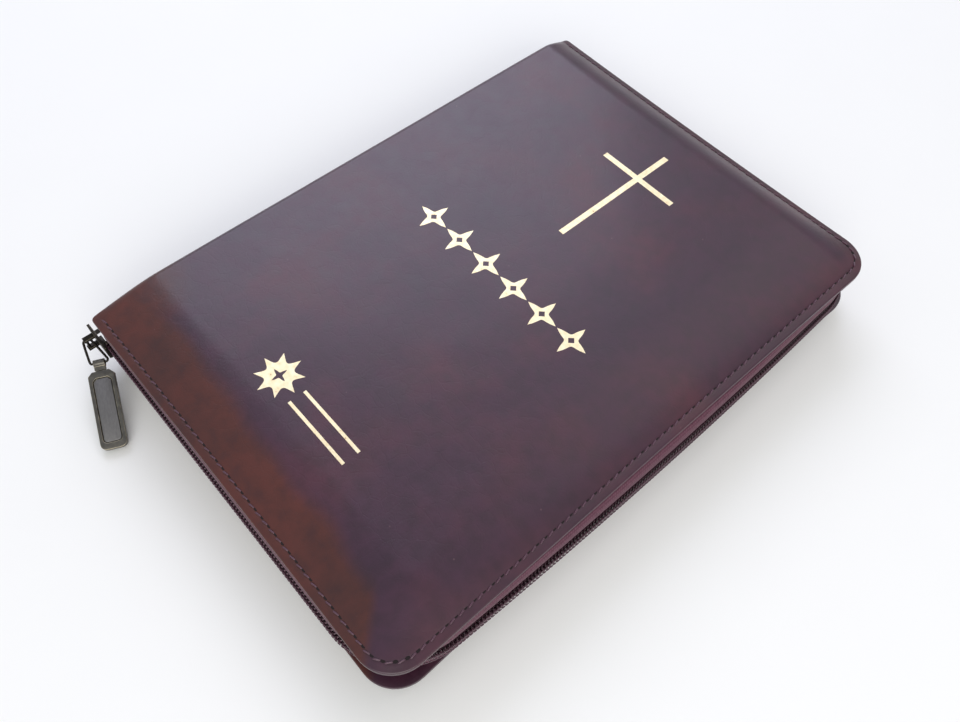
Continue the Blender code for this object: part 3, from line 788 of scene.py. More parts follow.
def seam(side, is_front, tree, finishes, body):
    """The stitches on one cover's lip: thread and needle holes outside, and thread on the inner face."""
    slant = Matrix.Rotation(math.radians(STITCH_SLANT), 4, "Z")
    stitch = small_bar("stitch", STITCH_LENGTH, THREAD, (0, 0, 0.02), finishes["thread"], 0.2)
    # Each needle hole is a dark lens of painted shade
    hole = needle_hole(finishes["hole"])
    under = small_bar("under_stitch", STITCH_LENGTH, THREAD, (0, 0, 0.0), finishes["thread"], -0.2)
    for item in (stitch, hole):
        item.data.transform(slant)
    outside = seam_line(not is_front)
    inside = zip_line(STITCH_INSET, 0.0)
    inside[:, 2] = lip_underside(inside[:, 0], inside[:, 1]) - 0.62
    items = [
        (f"{side}_stitches", outside, stitch, "thread"),
        (f"{side}_needle_holes", outside, hole, "hole"),
        (f"{side}_inner_stitches", inside, under, "thread"),
    ]
    for name, line, item, finish in items:
        if not is_front:
            line = line * (1, 1, -1) + (0, 0, THICKNESS)
            item.data.transform(Matrix.Scale(-1, 4, (0, 0, 1)))
            item.data.flip_normals()
        piece = along(name, line, item, STITCH_PITCH, tree, finishes[finish])
        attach(piece, body)
    for item in (stitch, hole, under):
        bpy.data.objects.remove(item)


# ---------------------------------------------------------------- the foil


def mesh_in_order(work, name):
    """A mesh with its points and faces in order of place, because cutting leaves them in a new order each run."""
    corners = sorted(work.verts, key=lambda v: tuple(round(c, SORTING_DIGITS) for c in v.co))
    number = {corner: i for i, corner in enumerate(corners)}
    faces = []
    for face in work.faces:
        loop = [number[vert] for vert in face.verts]
        first = loop.index(min(loop))
        faces.append(loop[first:] + loop[:first])
    mesh = bpy.data.meshes.new(name)
    mesh.from_pydata([tuple(corner.co) for corner in corners], [], sorted(faces))
    return mesh


def foil_piece(node, outline, finish, name, holes=()):
    """A thin stamping of foil that lies on the leather and follows it."""
    work = bmesh.new()
    edges = []
    for loop in (outline, *holes):
        corners = [work.verts.new((x, y, 0)) for x, y in loop]
        for i, corner in enumerate(corners):
            edges.append(work.edges.new((corner, corners[(i + 1) % len(corners)])))
    bmesh.ops.triangle_fill(work, edges=edges, use_beauty=True, use_dissolve=False, normal=(0, 0, 1))
    xs = [x for x, _ in outline]
    ys = [y for _, y in outline]
    for axis, low, high in ((Vector((1, 0, 0)), min(xs), max(xs)), (Vector((0, 1, 0)), min(ys), max(ys))):
        for cut in np.arange(math.ceil(low / 3) * 3, high, 3.0):
            parts = work.verts[:] + work.edges[:] + work.faces[:]
            bmesh.ops.bisect_plane(work, geom=parts, plane_co=axis * float(cut), plane_no=axis)
    bmesh.ops.recalc_face_normals(work, faces=work.faces)
    base = list(work.faces)
    raised = bmesh.ops.extrude_face_region(work, geom=base)
    tops = {v for v in raised["geom"] if isinstance(v, bmesh.types.BMVert)}
    for vert in work.verts:
        x, y = vert.co.x, vert.co.y
        height = float(leather_height(np.array([x]), np.array([y]))[0])
        place = bowed(np.array([[x, y, height + (FOIL_PROUD if vert in tops else -FOIL_PROUD)]]))[0]
        vert.co = Vector(place) * MM
    bmesh.ops.recalc_face_normals(work, faces=work.faces)
    mesh = mesh_in_order(work, name)
    work.free()
    mesh.materials.append(finish)
    piece = linked(name, mesh)
    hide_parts(node)
    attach(piece, "front_cover")


def centre_of(node):
    low, high = box_mm(node)
    return (low.x + high.x) / 2, (low.y + high.y) / 2, (high.x - low.x) / 2


def star_outline(cx, cy, tip, waist, points, steps=10):
    """A pointed star whose sides curve in from its tips to its waist."""
    outline = []
    for i in range(points * steps):
        share = abs(2 * ((i / steps) % 1) - 1)
        angle = 2 * math.pi * i / (points * steps)
        radius = waist + (tip - waist) * share**2.4
        outline.append((cx + radius * math.cos(angle), cy + radius * math.sin(angle)))
    return outline


def foil_cross(finish):
    low, high = box_mm("foil_cross")
    x = (low.x + high.x) / 2
    half = CROSS_STROKE / 2
    right = [(half, low.y), (half, CROSS_BAR_Y - half), (high.x - x, CROSS_BAR_Y - half)]
    right += [(high.x - x, CROSS_BAR_Y + half), (half, CROSS_BAR_Y + half), (half, high.y)]
    left = [(-dx, y) for dx, y in reversed(right)]
    foil_piece("foil_cross", [(x + dx, y) for dx, y in right + left], finish, "stamped_cross")


def foil_ornaments(finish):
    """The row of stars, each with a small diamond left open, and the rosette with its ring and rules."""
    for i in range(6):
        cx, cy, reach = centre_of(f"foil_ornament_{i + 1}")
        diamond = star_outline(cx, cy, 1.5, 1.06, 4, 2)
        outline = star_outline(cx, cy, reach, STAR_WAIST, 4)
        foil_piece(f"foil_ornament_{i + 1}", outline, finish, f"stamped_star_{i + 1}", [diamond])
    cx, cy, reach = centre_of("foil_rosette")
    eye = star_outline(cx, cy, 3.2, 1.1, 4)
    foil_piece(
        "foil_rosette", star_outline(cx, cy, reach, ROSETTE_WAIST, 8), finish, "stamped_rosette", [eye]
    )
    for i in (1, 2):
        low, high = box_mm(f"foil_rule_{i}")
        outline = [(low.x, low.y), (high.x, low.y), (high.x, high.y), (low.x, high.y)]
        foil_piece(f"foil_rule_{i}", outline, finish, f"stamped_rule_{i}")


# ---------------------------------------------------------------- the metal


def eased(node, name, finish, slot, body, width, segments=2, angle=28.0):
    """A metal part with its edges eased as casting and tumbling leave them, and marked as worn."""
    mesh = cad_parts[node].data.copy()
    mesh.name = name
    work = bmesh.new()
    work.from_mesh(mesh)
    bmesh.ops.remove_doubles(work, verts=work.verts, dist=1e-6)
    bmesh.ops.dissolve_limit(work, angle_limit=math.radians(2), verts=work.verts, edges=work.edges)
    limit = math.radians(angle)
    sharp = [e for e in work.edges if len(e.link_faces) == 2 and e.calc_face_angle(0) > limit]
    worn = work.faces.layers.float.new("worn")
    eased_faces = bmesh.ops.bevel(
        work, geom=sharp, offset=width * MM, segments=segments, profile=0.5, affect="EDGES",
        clamp_overlap=True
    )["faces"]
    for face in eased_faces:
        face[worn] = 1.0
    bmesh.ops.recalc_face_normals(work, faces=work.faces)
    work.to_mesh(mesh)
    work.free()
    mesh.materials.clear()
    mesh.materials.append(finish)
    smooth(mesh, 35)
    piece = linked(name, mesh)
    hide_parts(node)
    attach(piece, body)
    return piece


def wire_ring(finish):
    """The pull's wire loop, rounded from the solid's eight sides."""
    piece = eased("pull_ring", "wire_ring", finish, "metal", "ring", 0.0, angle=180)
    finer = piece.modifiers.new("Round", "SUBSURF")
    finer.levels = 1
    finer.render_levels = 1


def metal_parts(finishes):
    metal = finishes["metal"]
    dark = finishes["dark_metal"]
    eased("slider_body", "zip_slider", dark, "metal", "slider", 0.16)
    wire_ring(dark)
    eased("pull_link", "folded_link", metal, "metal", "tab", 0.12)
    eased("pull_tab", "bezelled_tab", metal, "metal", "tab", 0.16, 3)
    eased("pull_tab_panel", "tab_inlay", finishes["panel"], "metal_panel", "tab", 0.08)
    for side, body in (("lower", "back_case"), ("upper", "front_cover")):
        for end in ("head", "tail"):
            eased(f"{side}_zip_stop_{end}", f"{side}_stop_{end}", dark, "metal", body, 0.25)


# ---------------------------------------------------------------- the pages


def page_leaf(thickness, finish):
    """One leaf: square at the spine, rounded at the fore-edge."""
    low, high = box_mm("upper_signatures_1")
    r = PAGES_CORNER
    plan = np.concatenate([
        [(low.x, low.y)],
        arc(high.x - r, low.y + r, r, 270, 360, 5),
        arc(high.x - r, high.y - r, r, 0, 90, 5),
        [(low.x, high.y)],
    ])
    rings = [np.column_stack([plan, np.full(len(plan), z)]) for z in (0.0, thickness)]
    return swept("leaf", rings, finish, 30)


def signatures(side, body, tree, finish):
    """Four folded signatures of thin paper."""
    for i in range(4):
        node = f"{side}_signatures_{i + 1}"
        low, high = box_mm(node)
        depth = high.z - low.z
        pitch = depth / LEAVES_PER_SIGNATURE
        leaf = page_leaf(pitch * 0.8, finish)
        leaf.data.transform(Matrix.Translation((0, 0, low.z * MM)))
        inputs = {
            "Leaf": leaf,
            "Count": LEAVES_PER_SIGNATURE,
            "Rise": (0.0, 0.0, pitch * MM),
            "Looseness": 0.16 * MM,
            "Seed": i + (10 if side == "upper" else 0),
            "Finish": finish,
        }
        piece = as_piece(f"{side}_leaves_{i + 1}", bpy.data.meshes.new("empty"), tree, inputs)
        bpy.data.objects.remove(leaf)
        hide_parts(node)
        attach(piece, body)


def headbands(side, body, tree, finishes):
    """Two-coloured silk wound round a cord at each end of the spine."""
    for end in ("head", "tail"):
        node = f"{side}_headband_{end}"
        low, high = box_mm(node)
        centre = (low + high) / 2
        deep = (high.x - low.x) / 2 - 0.24
        wide = (high.y - low.y) / 2 - 0.24
        turns = np.linspace(0, 2 * np.pi, 13)[:-1]
        section = np.column_stack([centre.x + deep * np.cos(turns), centre.y + wide * np.sin(turns)])
        heights = (low.z + 0.1, low.z + 0.3, high.z - 0.3, high.z - 0.1)
        shrink = (0.7, 1.0, 1.0, 0.7)
        middle = np.array([centre.x, centre.y])
        rings = [
            np.column_stack([middle + (section - middle) * s, np.full(12, z)])
            for s, z in zip(shrink, heights)
        ]
        core = swept(f"{side}_headband_core_{end}", rings, finishes["cream_silk"], 50)
        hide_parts(node)
        loop = [(0, wide * math.cos(a), deep * math.sin(a)) for a in np.linspace(0, 2 * math.pi, 17)]
        pieces = [core]
        for shade, first in (("burgundy", 0.35), ("cream", 0.35 + WRAP_PITCH / 2)):
            finish = finishes[f"{shade}_silk"]
            item = swept("wrap", tube(loop, 0.23, (1, 0, 0)), finish, 70)
            line = [(centre.x, centre.y, low.z + first), (centre.x, centre.y, high.z - 0.3)]
            pieces.append(along(f"{side}_headband_{shade}_{end}", line, item, WRAP_PITCH, tree, finish))
            bpy.data.objects.remove(item)
        for piece in pieces:
            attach(piece, body)


def spine_mull(side, body, finish):
    """The cloth glued down the back of the sewn signatures, which stands up a little over their tapes."""
    low, high = box_mm(f"{side}_spine_cloth")
    rings = []
    for y in np.linspace(low.y, high.y, 81):
        band = math.exp(-(((y / 40 - round(y / 40)) * 40 / 4) ** 2))
        inner = high.x
        outer = high.x - 0.22 - 0.16 * band
        rings.append([(outer, y, low.z), (inner, y, low.z), (inner, y, high.z), (outer, y, high.z)])
    piece = swept(f"{side}_mull", rings, finish)
    lay_uv(piece.data, np.repeat(np.linspace(low.y, high.y, 81), 4), np.tile([0, 0.4, 10.2, 10.6], 81))
    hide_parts(f"{side}_spine_cloth")
    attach(piece, body)


def ribbon(finish):
    """The satin marker between the two halves, with a notched end at the tail."""
    low, high = box_mm("ribbon_marker")
    lines = np.linspace(low.y, high.y, 110)
    across = np.linspace(0, 1, 9)
    rings = []
    for y in lines:
        x = low.x + (high.x - low.x) * across
        notch = 3.5 * (1 - np.abs(2 * across - 1)) * (1 - smoothstep((y - low.y) / 8))
        sway = 0.5 * math.sin(y / 31) + 0.3 * math.sin(y / 12.7)
        lift = 0.05 * np.sin(y / 9 + 4 * across)
        top = np.column_stack([x + sway, y + notch, MIDDLE + lift + 0.07])
        rings.append(np.concatenate([top, (top - (0, 0, 0.14))[::-1]]))
    piece = swept("ribbon", rings, finish, 60)
    around = np.concatenate([across, across[::-1]]) * (high.x - low.x)
    lay_uv(piece.data, np.repeat(lines, 18), np.tile(around, len(lines)))
    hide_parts("ribbon_marker")
    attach(piece, "back_case")


def foam_pad(side, is_back, finish, body):
    """The foam that pads one cover: flat on its board, crowned under the leather, with rounded sides."""
    base = box_mm("front_board")[1].z + 0.15
    rings = []
    for inset, at_spine, share in (
        (24, 9.0, 1.0), (20.5, 6.5, 0.96), (18.5, 5.0, 0.85), (17.4, 4.2, 0.6), (17.0, 3.8, 0.25),
    ):
        plan = plan_ring(inset, at_spine, BOARD_CORNER)
        top = leather_height(plan[:, 0], plan[:, 1]) - SKIN - 0.2
        rings.append(np.column_stack([plan, base + np.maximum(top - base, 0.1) * share]))
    for inset, at_spine in ((17.2, 4.0), (24.0, 9.0)):
        rings.append(np.column_stack([plan_ring(inset, at_spine, BOARD_CORNER), np.full(RING_COUNT, base)]))
    piece = crowned(f"{side}_foam", rings, SKIN + 0.2, finish, is_back)
    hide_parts(f"{side}_padding")
    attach(piece, body)


def cover_board(side, is_back, finish, body):
    """One cover's board, die-cut with rounded corners and softened edges."""
    low, high = box_mm("front_board")
    rings = []
    for inset, height in ((14.3, low.z), (14.0, low.z + 0.3), (14.0, high.z - 0.4), (14.6, high.z)):
        plan = plan_ring(inset, 3.3, BOARD_CORNER)
        rings.append(np.column_stack([plan, np.full(RING_COUNT, THICKNESS - height if is_back else height)]))
    piece = swept(f"{side}_cover_board", rings, finish)
    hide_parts(f"{side}_board")
    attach(piece, body)


# ---------------------------------------------------------------- finishes


def colour_mix(tree, factor, first, second, blend="MIX"):
    """One colour mixed into another. Each is a hex code or a socket."""
    made = add(tree, "ShaderNodeMix", {"Factor": factor}, data_type="RGBA", blend_type=blend)
    for label, value in (("A", first), ("B", second)):
        socket = next(s for s in made.inputs if s.identifier == label + "_Color")
        if isinstance(value, str):
            socket.default_value = srgb(value)
        else:
            tree.links.new(value, socket)
    return next(s for s in made.outputs if s.identifier == "Result_Color")


def bumped(tree, height, depth, normal=None, strength=1.0):
    """A bump of this depth in millimetres, over another one where it is given."""
    inputs = {"Height": height, "Distance": depth * MM, "Strength": strength}
    if normal is not None:
        inputs["Normal"] = normal
    return add(tree, "ShaderNodeBump", inputs).outputs["Normal"]


def set_shader(tree, shader, values, links):
    """Sets the shader's constant sockets and links its patterned ones."""
    for label, value in values.items():
        shader.inputs[label].default_value = value
    for label, socket in links.items():
        tree.links.new(socket, shader.inputs[label])


def bonded_leather():
    """Bonded leather, embossed, glazed and hand-rubbed in two tones: wine in the middle, chestnut where hands
    wear it and, as painted shade, where the slopes miss the window's reflection. A soft window-like gloss, fine
    pores, faint creases and small pale scuffs."""
    finish, tree, shader = new_finish("burgundy_bonded_leather")
    place = add(tree, "ShaderNodeAttribute", attribute_name="place").outputs["Vector"]
    burnish_and_shade = add(tree, "ShaderNodeAttribute", attribute_name="burnish_and_shade").outputs["Fac"]
    clouds = add(
        tree, "ShaderNodeTexNoise", {"Vector": place, "Scale": per_mm(34), "Detail": 4.0}
    ).outputs["Fac"]
    mottle = add(
        tree, "ShaderNodeTexNoise", {"Vector": place, "Scale": per_mm(5), "Detail": 6.0}
    ).outputs["Fac"]
    wine = ramp(tree, clouds, ((0.3, WINE_DARK), (0.5, WINE), (0.7, WINE_LIGHT)))
    brown = ramp(tree, clouds, ((0.3, CHESTNUT_DARK), (0.55, CHESTNUT), (0.75, CHESTNUT_LIGHT)))
    # The browner band, rubbing and painted shade alike, comes and goes in patches, so its edge is broken up
    patches = add(
        tree, "ShaderNodeMapRange",
        {"Value": mottle, "From Min": 0.25, "From Max": 0.7, "To Min": 0.85, "To Max": 1.15},
    )
    patchy = add(
        tree, "ShaderNodeMath", {0: patches.outputs["Result"], 1: burnish_and_shade},
        operation="MULTIPLY", use_clamp=True,
    )
    tone = colour_mix(tree, patchy.outputs["Value"], wine, brown)
    dulled = ramp(tree, mottle, ((0.32, "#dedede"), (0.62, "#ffffff")))
    tone = colour_mix(tree, 1.0, tone, dulled, "MULTIPLY")
    specks = add(tree, "ShaderNodeTexVoronoi", {"Vector": place, "Scale": per_mm(11), "Randomness": 1.0})
    scuff = add(
        tree,
        "ShaderNodeMapRange",
        {
            "Value": specks.outputs["Distance"], "From Min": 0.0, "From Max": 0.035,
            "To Min": 0.35, "To Max": 0.0,
        },
    ).outputs["Result"]
    tone = colour_mix(tree, scuff, tone, "#8d6a70")
    # Pores about 0.7 mm apart, and creases a few millimetres apart
    pores = add(tree, "ShaderNodeTexVoronoi", {"Vector": place, "Scale": per_mm(0.8)}, feature="SMOOTH_F1")
    warp = add(tree, "ShaderNodeTexNoise", {"Vector": place, "Scale": per_mm(9), "Detail": 3.0})
    bent = add(tree, "ShaderNodeVectorMath", {0: warp.outputs["Color"], "Scale": 6 * MM}, operation="SCALE")
    moved = add(tree, "ShaderNodeVectorMath", {0: place, 1: bent.outputs["Vector"]}, operation="ADD")
    creases = add(
        tree,
        "ShaderNodeTexVoronoi",
        {"Vector": moved.outputs["Vector"], "Scale": per_mm(6)},
        feature="DISTANCE_TO_EDGE",
    )
    fold = add(tree, "ShaderNodeMapRange", {"Value": creases.outputs["Distance"], "From Max": 0.05})
    swell = add(
        tree, "ShaderNodeTexNoise", {"Vector": place, "Scale": per_mm(13), "Detail": 2.0}
    ).outputs["Fac"]
    normal = bumped(tree, swell, 0.3, strength=0.6)
    normal = bumped(tree, pores.outputs["Distance"], 0.06, normal, 0.35)
    normal = bumped(tree, fold.outputs["Result"], 0.05, normal, 0.3)
    gloss = add(
        tree, "ShaderNodeMapRange", {"Value": mottle, "To Min": 0.36, "To Max": 0.52}
    ).outputs["Result"]
    set_shader(
        tree,
        shader,
        {"Specular IOR Level": 0.5, "Coat Weight": 0.3, "Coat Roughness": 0.22},
        {"Base Color": tone, "Normal": normal, "Roughness": gloss},
    )
    return finish


def plain(name, code, roughness, size, depth, metallic=0.0, lighter="#ffffff", amount=0.25):
    """A finish with one colour broken up by a fine grain of the given size, which also gives its bump."""
    finish, tree, shader = new_finish(name)
    place = add(tree, "ShaderNodeTexCoord").outputs["Object"]
    grain = add(
        tree, "ShaderNodeTexNoise", {"Vector": place, "Scale": per_mm(size), "Detail": 4.0}
    ).outputs["Fac"]
    share = add(tree, "ShaderNodeMapRange", {"Value": grain, "To Max": amount}).outputs["Result"]
    set_shader(
        tree,
        shader,
        {"Roughness": roughness, "Metallic": metallic},
        {"Base Color": colour_mix(tree, share, code, lighter), "Normal": bumped(tree, grain, depth)},
    )
    return finish


def bands(tree, place, size, turn):
    """Even stripes this many millimetres apart, turned by an angle on the cloth."""
    turned = add(tree, "ShaderNodeMapping", {"Vector": place, "Rotation": (0.0, 0.0, math.radians(turn))})
    scale = 2 * math.pi / (20 * size * MM)
    wave = add(
        tree, "ShaderNodeTexWave", {"Vector": turned.outputs["Vector"], "Scale": scale},
        bands_direction="X",
    )
    return wave.outputs["Fac"]


def woven(name, code, lighter, rib, twill, depth, roughness, sheen=0.0):
    """Cloth whose ribs run along it and whose twill crosses them, on the piece's own cloth coordinates."""
    finish, tree, shader = new_finish(name)
    place = add(tree, "ShaderNodeUVMap", uv_map="cloth").outputs["UV"]
    ribs = bands(tree, place, rib, 90)
    crossing = bands(tree, place, twill, 35)
    fuzz = add(
        tree, "ShaderNodeTexNoise", {"Vector": place, "Scale": per_mm(1.1), "Detail": 5.0}
    ).outputs["Fac"]
    weave = add(tree, "ShaderNodeMath", {0: ribs, 1: crossing}, operation="MULTIPLY").outputs["Value"]
    rough = add(
        tree, "ShaderNodeMath", {0: weave, 1: 0.6, 2: fuzz}, operation="MULTIPLY_ADD"
    ).outputs["Value"]
    share = add(
        tree, "ShaderNodeMapRange", {"Value": rough, "From Min": 0.3, "From Max": 1.1}
    ).outputs["Result"]
    normal = bumped(tree, weave, depth)
    set_shader(
        tree,
        shader,
        {"Roughness": roughness, "Sheen Weight": sheen, "Sheen Roughness": 0.4},
        {
            "Base Color": colour_mix(tree, share, code, lighter),
            "Normal": bumped(tree, fuzz, depth / 2, normal),
        },
    )
    return finish


def plated(name, dark, middle, light, edge_dark, edge_light):
    """Cast zinc plated in black nickel and tumbled: dark and soft in the hollows, paler along its worn
    edges."""
    finish, tree, shader = new_finish(name)
    place = add(tree, "ShaderNodeTexCoord").outputs["Object"]
    worn = add(tree, "ShaderNodeAttribute", attribute_name="worn").outputs["Fac"]
    patches = add(
        tree, "ShaderNodeTexNoise", {"Vector": place, "Scale": per_mm(2.2), "Detail": 5.0}
    ).outputs["Fac"]
    body = ramp(tree, patches, ((0.3, dark), (0.55, middle), (0.75, light)))
    edge = ramp(tree, patches, ((0.3, edge_dark), (0.6, edge_light)))
    rub = add(
        tree, "ShaderNodeMapRange", {"Value": patches, "From Min": 0.3, "From Max": 0.6, "To Min": 0.35}
    )
    share = add(
        tree, "ShaderNodeMath", {0: worn, 1: rub.outputs["Result"]}, operation="MULTIPLY"
    ).outputs["Value"]
    grain = add(
        tree, "ShaderNodeTexNoise", {"Vector": place, "Scale": per_mm(0.5), "Detail": 3.0}
    ).outputs["Fac"]
    gloss = add(
        tree, "ShaderNodeMapRange", {"Value": patches, "To Min": 0.34, "To Max": 0.5}
    ).outputs["Result"]
    set_shader(
        tree,
        shader,
        {"Metallic": 1.0},
        {
            "Base Color": colour_mix(tree, share, body, edge),
            "Roughness": gloss,
            "Normal": bumped(tree, grain, 0.015),
        },
    )
    return finish


def brushed_inlay():
    """The tab's inlay: darker plating brushed along its length, which draws its shine out across it."""
    finish, tree, shader = new_finish("brushed_dark_inlay")
    place = add(tree, "ShaderNodeTexCoord").outputs["Object"]
    low, high = box_mm("pull_tab_panel")
    turn = math.atan2(low.y - high.y, high.x - low.x)
    along_tab = add(tree, "ShaderNodeMapping", {"Vector": place, "Rotation": (0.0, 0.0, -turn)})
    drawn = add(
        tree, "ShaderNodeVectorMath", {0: along_tab.outputs["Vector"], 1: (0.06, 1.0, 1.0)},
        operation="MULTIPLY",
    )
    lines = add(
        tree, "ShaderNodeTexNoise", {"Vector": drawn.outputs["Vector"], "Scale": per_mm(0.5), "Detail": 4.0}
    )
    tone = ramp(tree, lines.outputs["Fac"], ((0.25, "#747272"), (0.75, "#838180")))
    set_shader(
        tree,
        shader,
        {"Metallic": 0.9, "Roughness": 0.5},
        {"Base Color": tone, "Normal": bumped(tree, lines.outputs["Fac"], 0.006)},
    )
    return finish


def gold_foil():
    """Pale gold hot-stamping foil: bright and satin, with the leather's grain showing through and small
    breaks."""
    finish, tree, shader = new_finish("pale_gold_foil")
    place = add(tree, "ShaderNodeTexCoord").outputs["Object"]
    grain = add(tree, "ShaderNodeTexVoronoi", {"Vector": place, "Scale": per_mm(0.8)}, feature="SMOOTH_F1")
    wear = add(
        tree, "ShaderNodeTexNoise", {"Vector": place, "Scale": per_mm(1.6), "Detail": 6.0}
    ).outputs["Fac"]
    tone = ramp(tree, wear, ((0.22, "#a07c55"), (0.32, "#f0dcb0"), (0.7, "#fbeecb")))
    set_shader(
        tree,
        shader,
        {"Metallic": 0.55, "Roughness": 0.42},
        {"Base Color": tone, "Normal": bumped(tree, grain.outputs["Distance"], 0.04, strength=0.5)},
    )
    return finish


def satin(name, code, lighter):
    """Silk or satin thread: close shiny strands with a soft sheen."""
    finish, tree, shader = new_finish(name)
    place = add(tree, "ShaderNodeTexCoord").outputs["Object"]
    strands = add(
        tree, "ShaderNodeTexNoise", {"Vector": place, "Scale": per_mm(0.35), "Detail": 3.0}
    ).outputs["Fac"]
    set_shader(
        tree,
        shader,
        {"Roughness": 0.45, "Sheen Weight": 0.25, "Sheen Roughness": 0.35},
        {"Base Color": colour_mix(tree, strands, code, lighter), "Normal": bumped(tree, strands, 0.05)},
    )
    return finish


def printed_paper():
    """Thin bible paper, uncoated: warm white, with fibres along the grain and slightly toned in broad patches."""
    finish, tree, shader = new_finish("thin_bible_paper")
    place = add(tree, "ShaderNodeTexCoord").outputs["Object"]
    drawn = add(
        tree, "ShaderNodeVectorMath", {0: place, 1: (1.0, 0.25, 1.0)}, operation="MULTIPLY"
    ).outputs["Vector"]
    fibres = add(
        tree, "ShaderNodeTexNoise", {"Vector": drawn, "Scale": per_mm(1.2), "Detail": 6.0}
    ).outputs["Fac"]
    toning = add(
        tree, "ShaderNodeTexNoise", {"Vector": place, "Scale": per_mm(45), "Detail": 3.0}
    ).outputs["Fac"]
    tone = ramp(tree, toning, ((0.3, "#e6dcc3"), (0.6, "#eee6d2")))
    tone = colour_mix(tree, 1.0, tone, ramp(tree, fibres, ((0.3, "#efebe2"), (0.6, "#ffffff"))), "MULTIPLY")
    set_shader(
        tree,
        shader,
        {"Roughness": 0.78, "Specular IOR Level": 0.3},
        {"Base Color": tone, "Normal": bumped(tree, fibres, 0.02)},
    )
    return finish


def all_finishes():
    """Every finish by the name its pieces ask for."""
    return {
        "leather": bonded_leather(),
        # Bonded polyester thread: close to the leather, with a slight shine on each stitch
        "thread": satin("burgundy_polyester_thread", "#3e1e2e", "#644353"),
        # Needle holes: near-black painted shade, standing in for the shade inside each hole
        "hole": plain("needle_hole_painted_shade", "#120709", 0.9, 0.6, 0.03, lighter="#2a1418"),
        # Moulded nylon monofilament: dark wine with a plastic shine
        "coil": plain("nylon_monofilament", "#2e1520", 0.36, 0.9, 0.01, lighter="#5a3444", amount=0.5),
        "tape": woven("polyester_zip_tape", "#461f30", "#6e4253", 0.9, 0.75, 0.09, 0.8, 0.08),
        "metal": plated("antique_nickel", "#5c5955", "#6b6862", "#78746c", "#8f8878", "#bcb29c"),
        "dark_metal": plated("black_nickel", "#26241f", "#35322e", "#45413b", "#4c463b", "#6b6453"),
        "panel": brushed_inlay(),
        "foil": gold_foil(),
        "paper": printed_paper(),
        # Laid endpaper: matt cream with a felt texture
        "endpaper": plain("cream_endpaper", "#cdc0a2", 0.85, 2.5, 0.02, lighter="#e9dfc6", amount=0.6),
        # Grey board: pressed waste fibres, speckled
        "board": plain("pressed_grey_board", "#77726a", 0.9, 0.9, 0.05, lighter="#a8a298", amount=0.7),
        # Polyurethane foam: pale, matt, open-celled
        "foam": plain("polyurethane_foam", "#cfc8b4", 0.95, 0.7, 0.18, lighter="#efe9d8", amount=0.5),
        "mull": woven("starched_mull", "#c9c0aa", "#efe8d6", 1.1, 1.1, 0.06, 0.9),
        "ribbon": woven("satin_marker", "#6a1226", "#98304a", 0.5, 0.9, 0.02, 0.35, 0.4),
        "burgundy_silk": satin("burgundy_silk", "#5c1524", "#84303f"),
        "cream_silk": satin("cream_silk", "#d8c9a4", "#f0e6cb"),
    }


# ---------------------------------------------------------------- camera, floor and light


def facing(azimuth, elevation):
    """The direction from which something at this azimuth and elevation looks at the object."""
    a = math.radians(azimuth)
    e = math.radians(elevation)
    return Vector((math.sin(a) * math.cos(e), -math.cos(a) * math.cos(e), math.sin(e)))


def make_camera():
    camera = linked("camera", bpy.data.cameras.new("camera"))
    look = -facing(CAMERA_AZIMUTH, CAMERA_ELEVATION)
    turn = Quaternion((0, 0, 1), math.radians(CAMERA_ROLL))
    camera.rotation_mode = "QUATERNION"
    camera.rotation_quaternion = look.to_track_quat("-Z", "Y") @ turn
    camera.location = CAMERA_PLACE
    camera.data.lens = LENS
    camera.data.sensor_width = 36.0
    camera.data.clip_start = 0.01
    bpy.context.scene.camera = camera


def make_floor():
    floor = mesh_piece(
        "floor",
        [(-4000, -4000, -0.2), (4000, -4000, -0.2), (4000, 4000, -0.2), (-4000, 4000, -0.2)],
        [(0, 1, 2, 3)],
        plain("white_paper_board", "#f2f2f0", 0.7, 40, 0.02, lighter="#fafaf8"),
    )


def softbox(name, azimuth, elevation, distance, size, power, code="#ffffff"):
    light = bpy.data.lights.new(name, "AREA")
    light.shape = "RECTANGLE"
    light.size = size[0]
    light.size_y = size[1]
    light.energy = power
    light.color = srgb(code)[:3]
    lamp = linked(name, light)
    away = facing(azimuth, elevation)
    lamp.location = away * distance
    lamp.rotation_mode = "QUATERNION"
    lamp.rotation_quaternion = away.to_track_quat("Z", "Y")


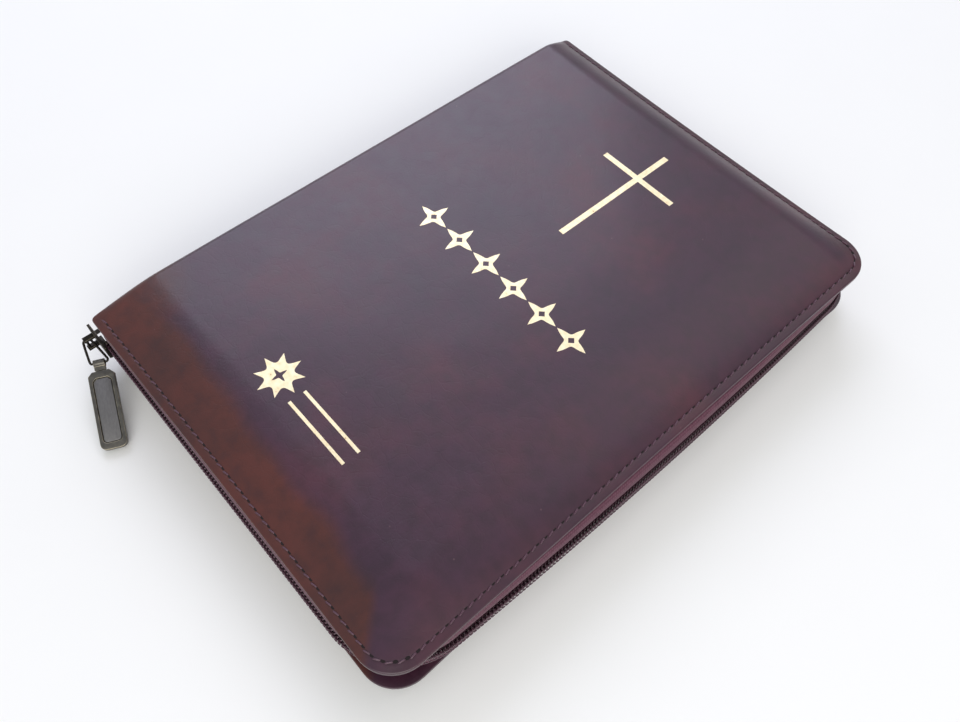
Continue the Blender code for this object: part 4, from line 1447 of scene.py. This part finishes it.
def make_light():
    world = bpy.data.worlds.new("studio")
    world.use_nodes = True
    sky = world.node_tree.nodes["Background"]
    sky.inputs["Color"].default_value = srgb("#eef1f6")
    sky.inputs["Strength"].default_value = 0.64
    bpy.context.scene.world = world
    softbox("window", 241, 41, 1.6, (1.2, 0.9), 11, "#e8eaff")
    softbox("ceiling", 174, 56, 1.5, (0.8, 0.8), 2.0, "#fff6f4")
    softbox("fill", 52, 34, 1.3, (1.3, 0.6), 9.2, "#fffdf6")
    bpy.context.scene.view_settings.view_transform = "Standard"


# ---------------------------------------------------------------- the object


def cover(side, is_back, finish):
    """One cover's leather, with its half of the spine where it joins it."""
    piece = crowned(f"{side}_leather", cover_rings(), 0.0, finish, is_back)
    return piece


def covers(finish):
    front = cover("front", False, finish)
    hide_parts("front_cover_leather", "spine_leather")
    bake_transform(front)
    back = cover("back", True, finish)
    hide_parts("back_cover_leather")
    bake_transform(back)


def repaint(finishes):
    """Gives the flat boards and papers their finishes."""
    for names, finish, slot in (
        (("spine_stiffener",), "board", "board"),
        (("front_lining", "back_lining", "front_flyleaf", "back_flyleaf"), "endpaper", "endpaper"),
    ):
        for name in names:
            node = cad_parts[name]
            node.data.materials.clear()
            node.data.materials.append(finishes[finish])


def main():
    make_camera()
    make_floor()
    make_light()
    finishes = all_finishes()
    level = path_tree("Z")
    upright = path_tree("AUTO")
    piles = stack_tree()
    covers(finishes["leather"])
    for side, is_back, body in (("front", False, "front_cover"), ("back", True, "back_case")):
        foam_pad(side, is_back, finishes["foam"], body)
        cover_board(side, is_back, finishes["board"], body)
    for side, body, is_upper in (("lower", "back_case", False), ("upper", "front_cover", True)):
        zip_tape(side, is_upper, finishes["tape"], body)
        zip_chain(side, is_upper, level, finishes, body)
        seam("front" if is_upper else "back", is_upper, level, finishes, body)
    for side, body in (("lower", "back_case"), ("upper", "page_half")):
        signatures(side, body, piles, finishes["paper"])
        headbands(side, body, upright, finishes)
        spine_mull(side, body, finishes["mull"])
    ribbon(finishes["ribbon"])
    metal_parts(finishes)
    foil_cross(finishes["foil"])
    foil_ornaments(finishes["foil"])
    repaint(finishes)


main()
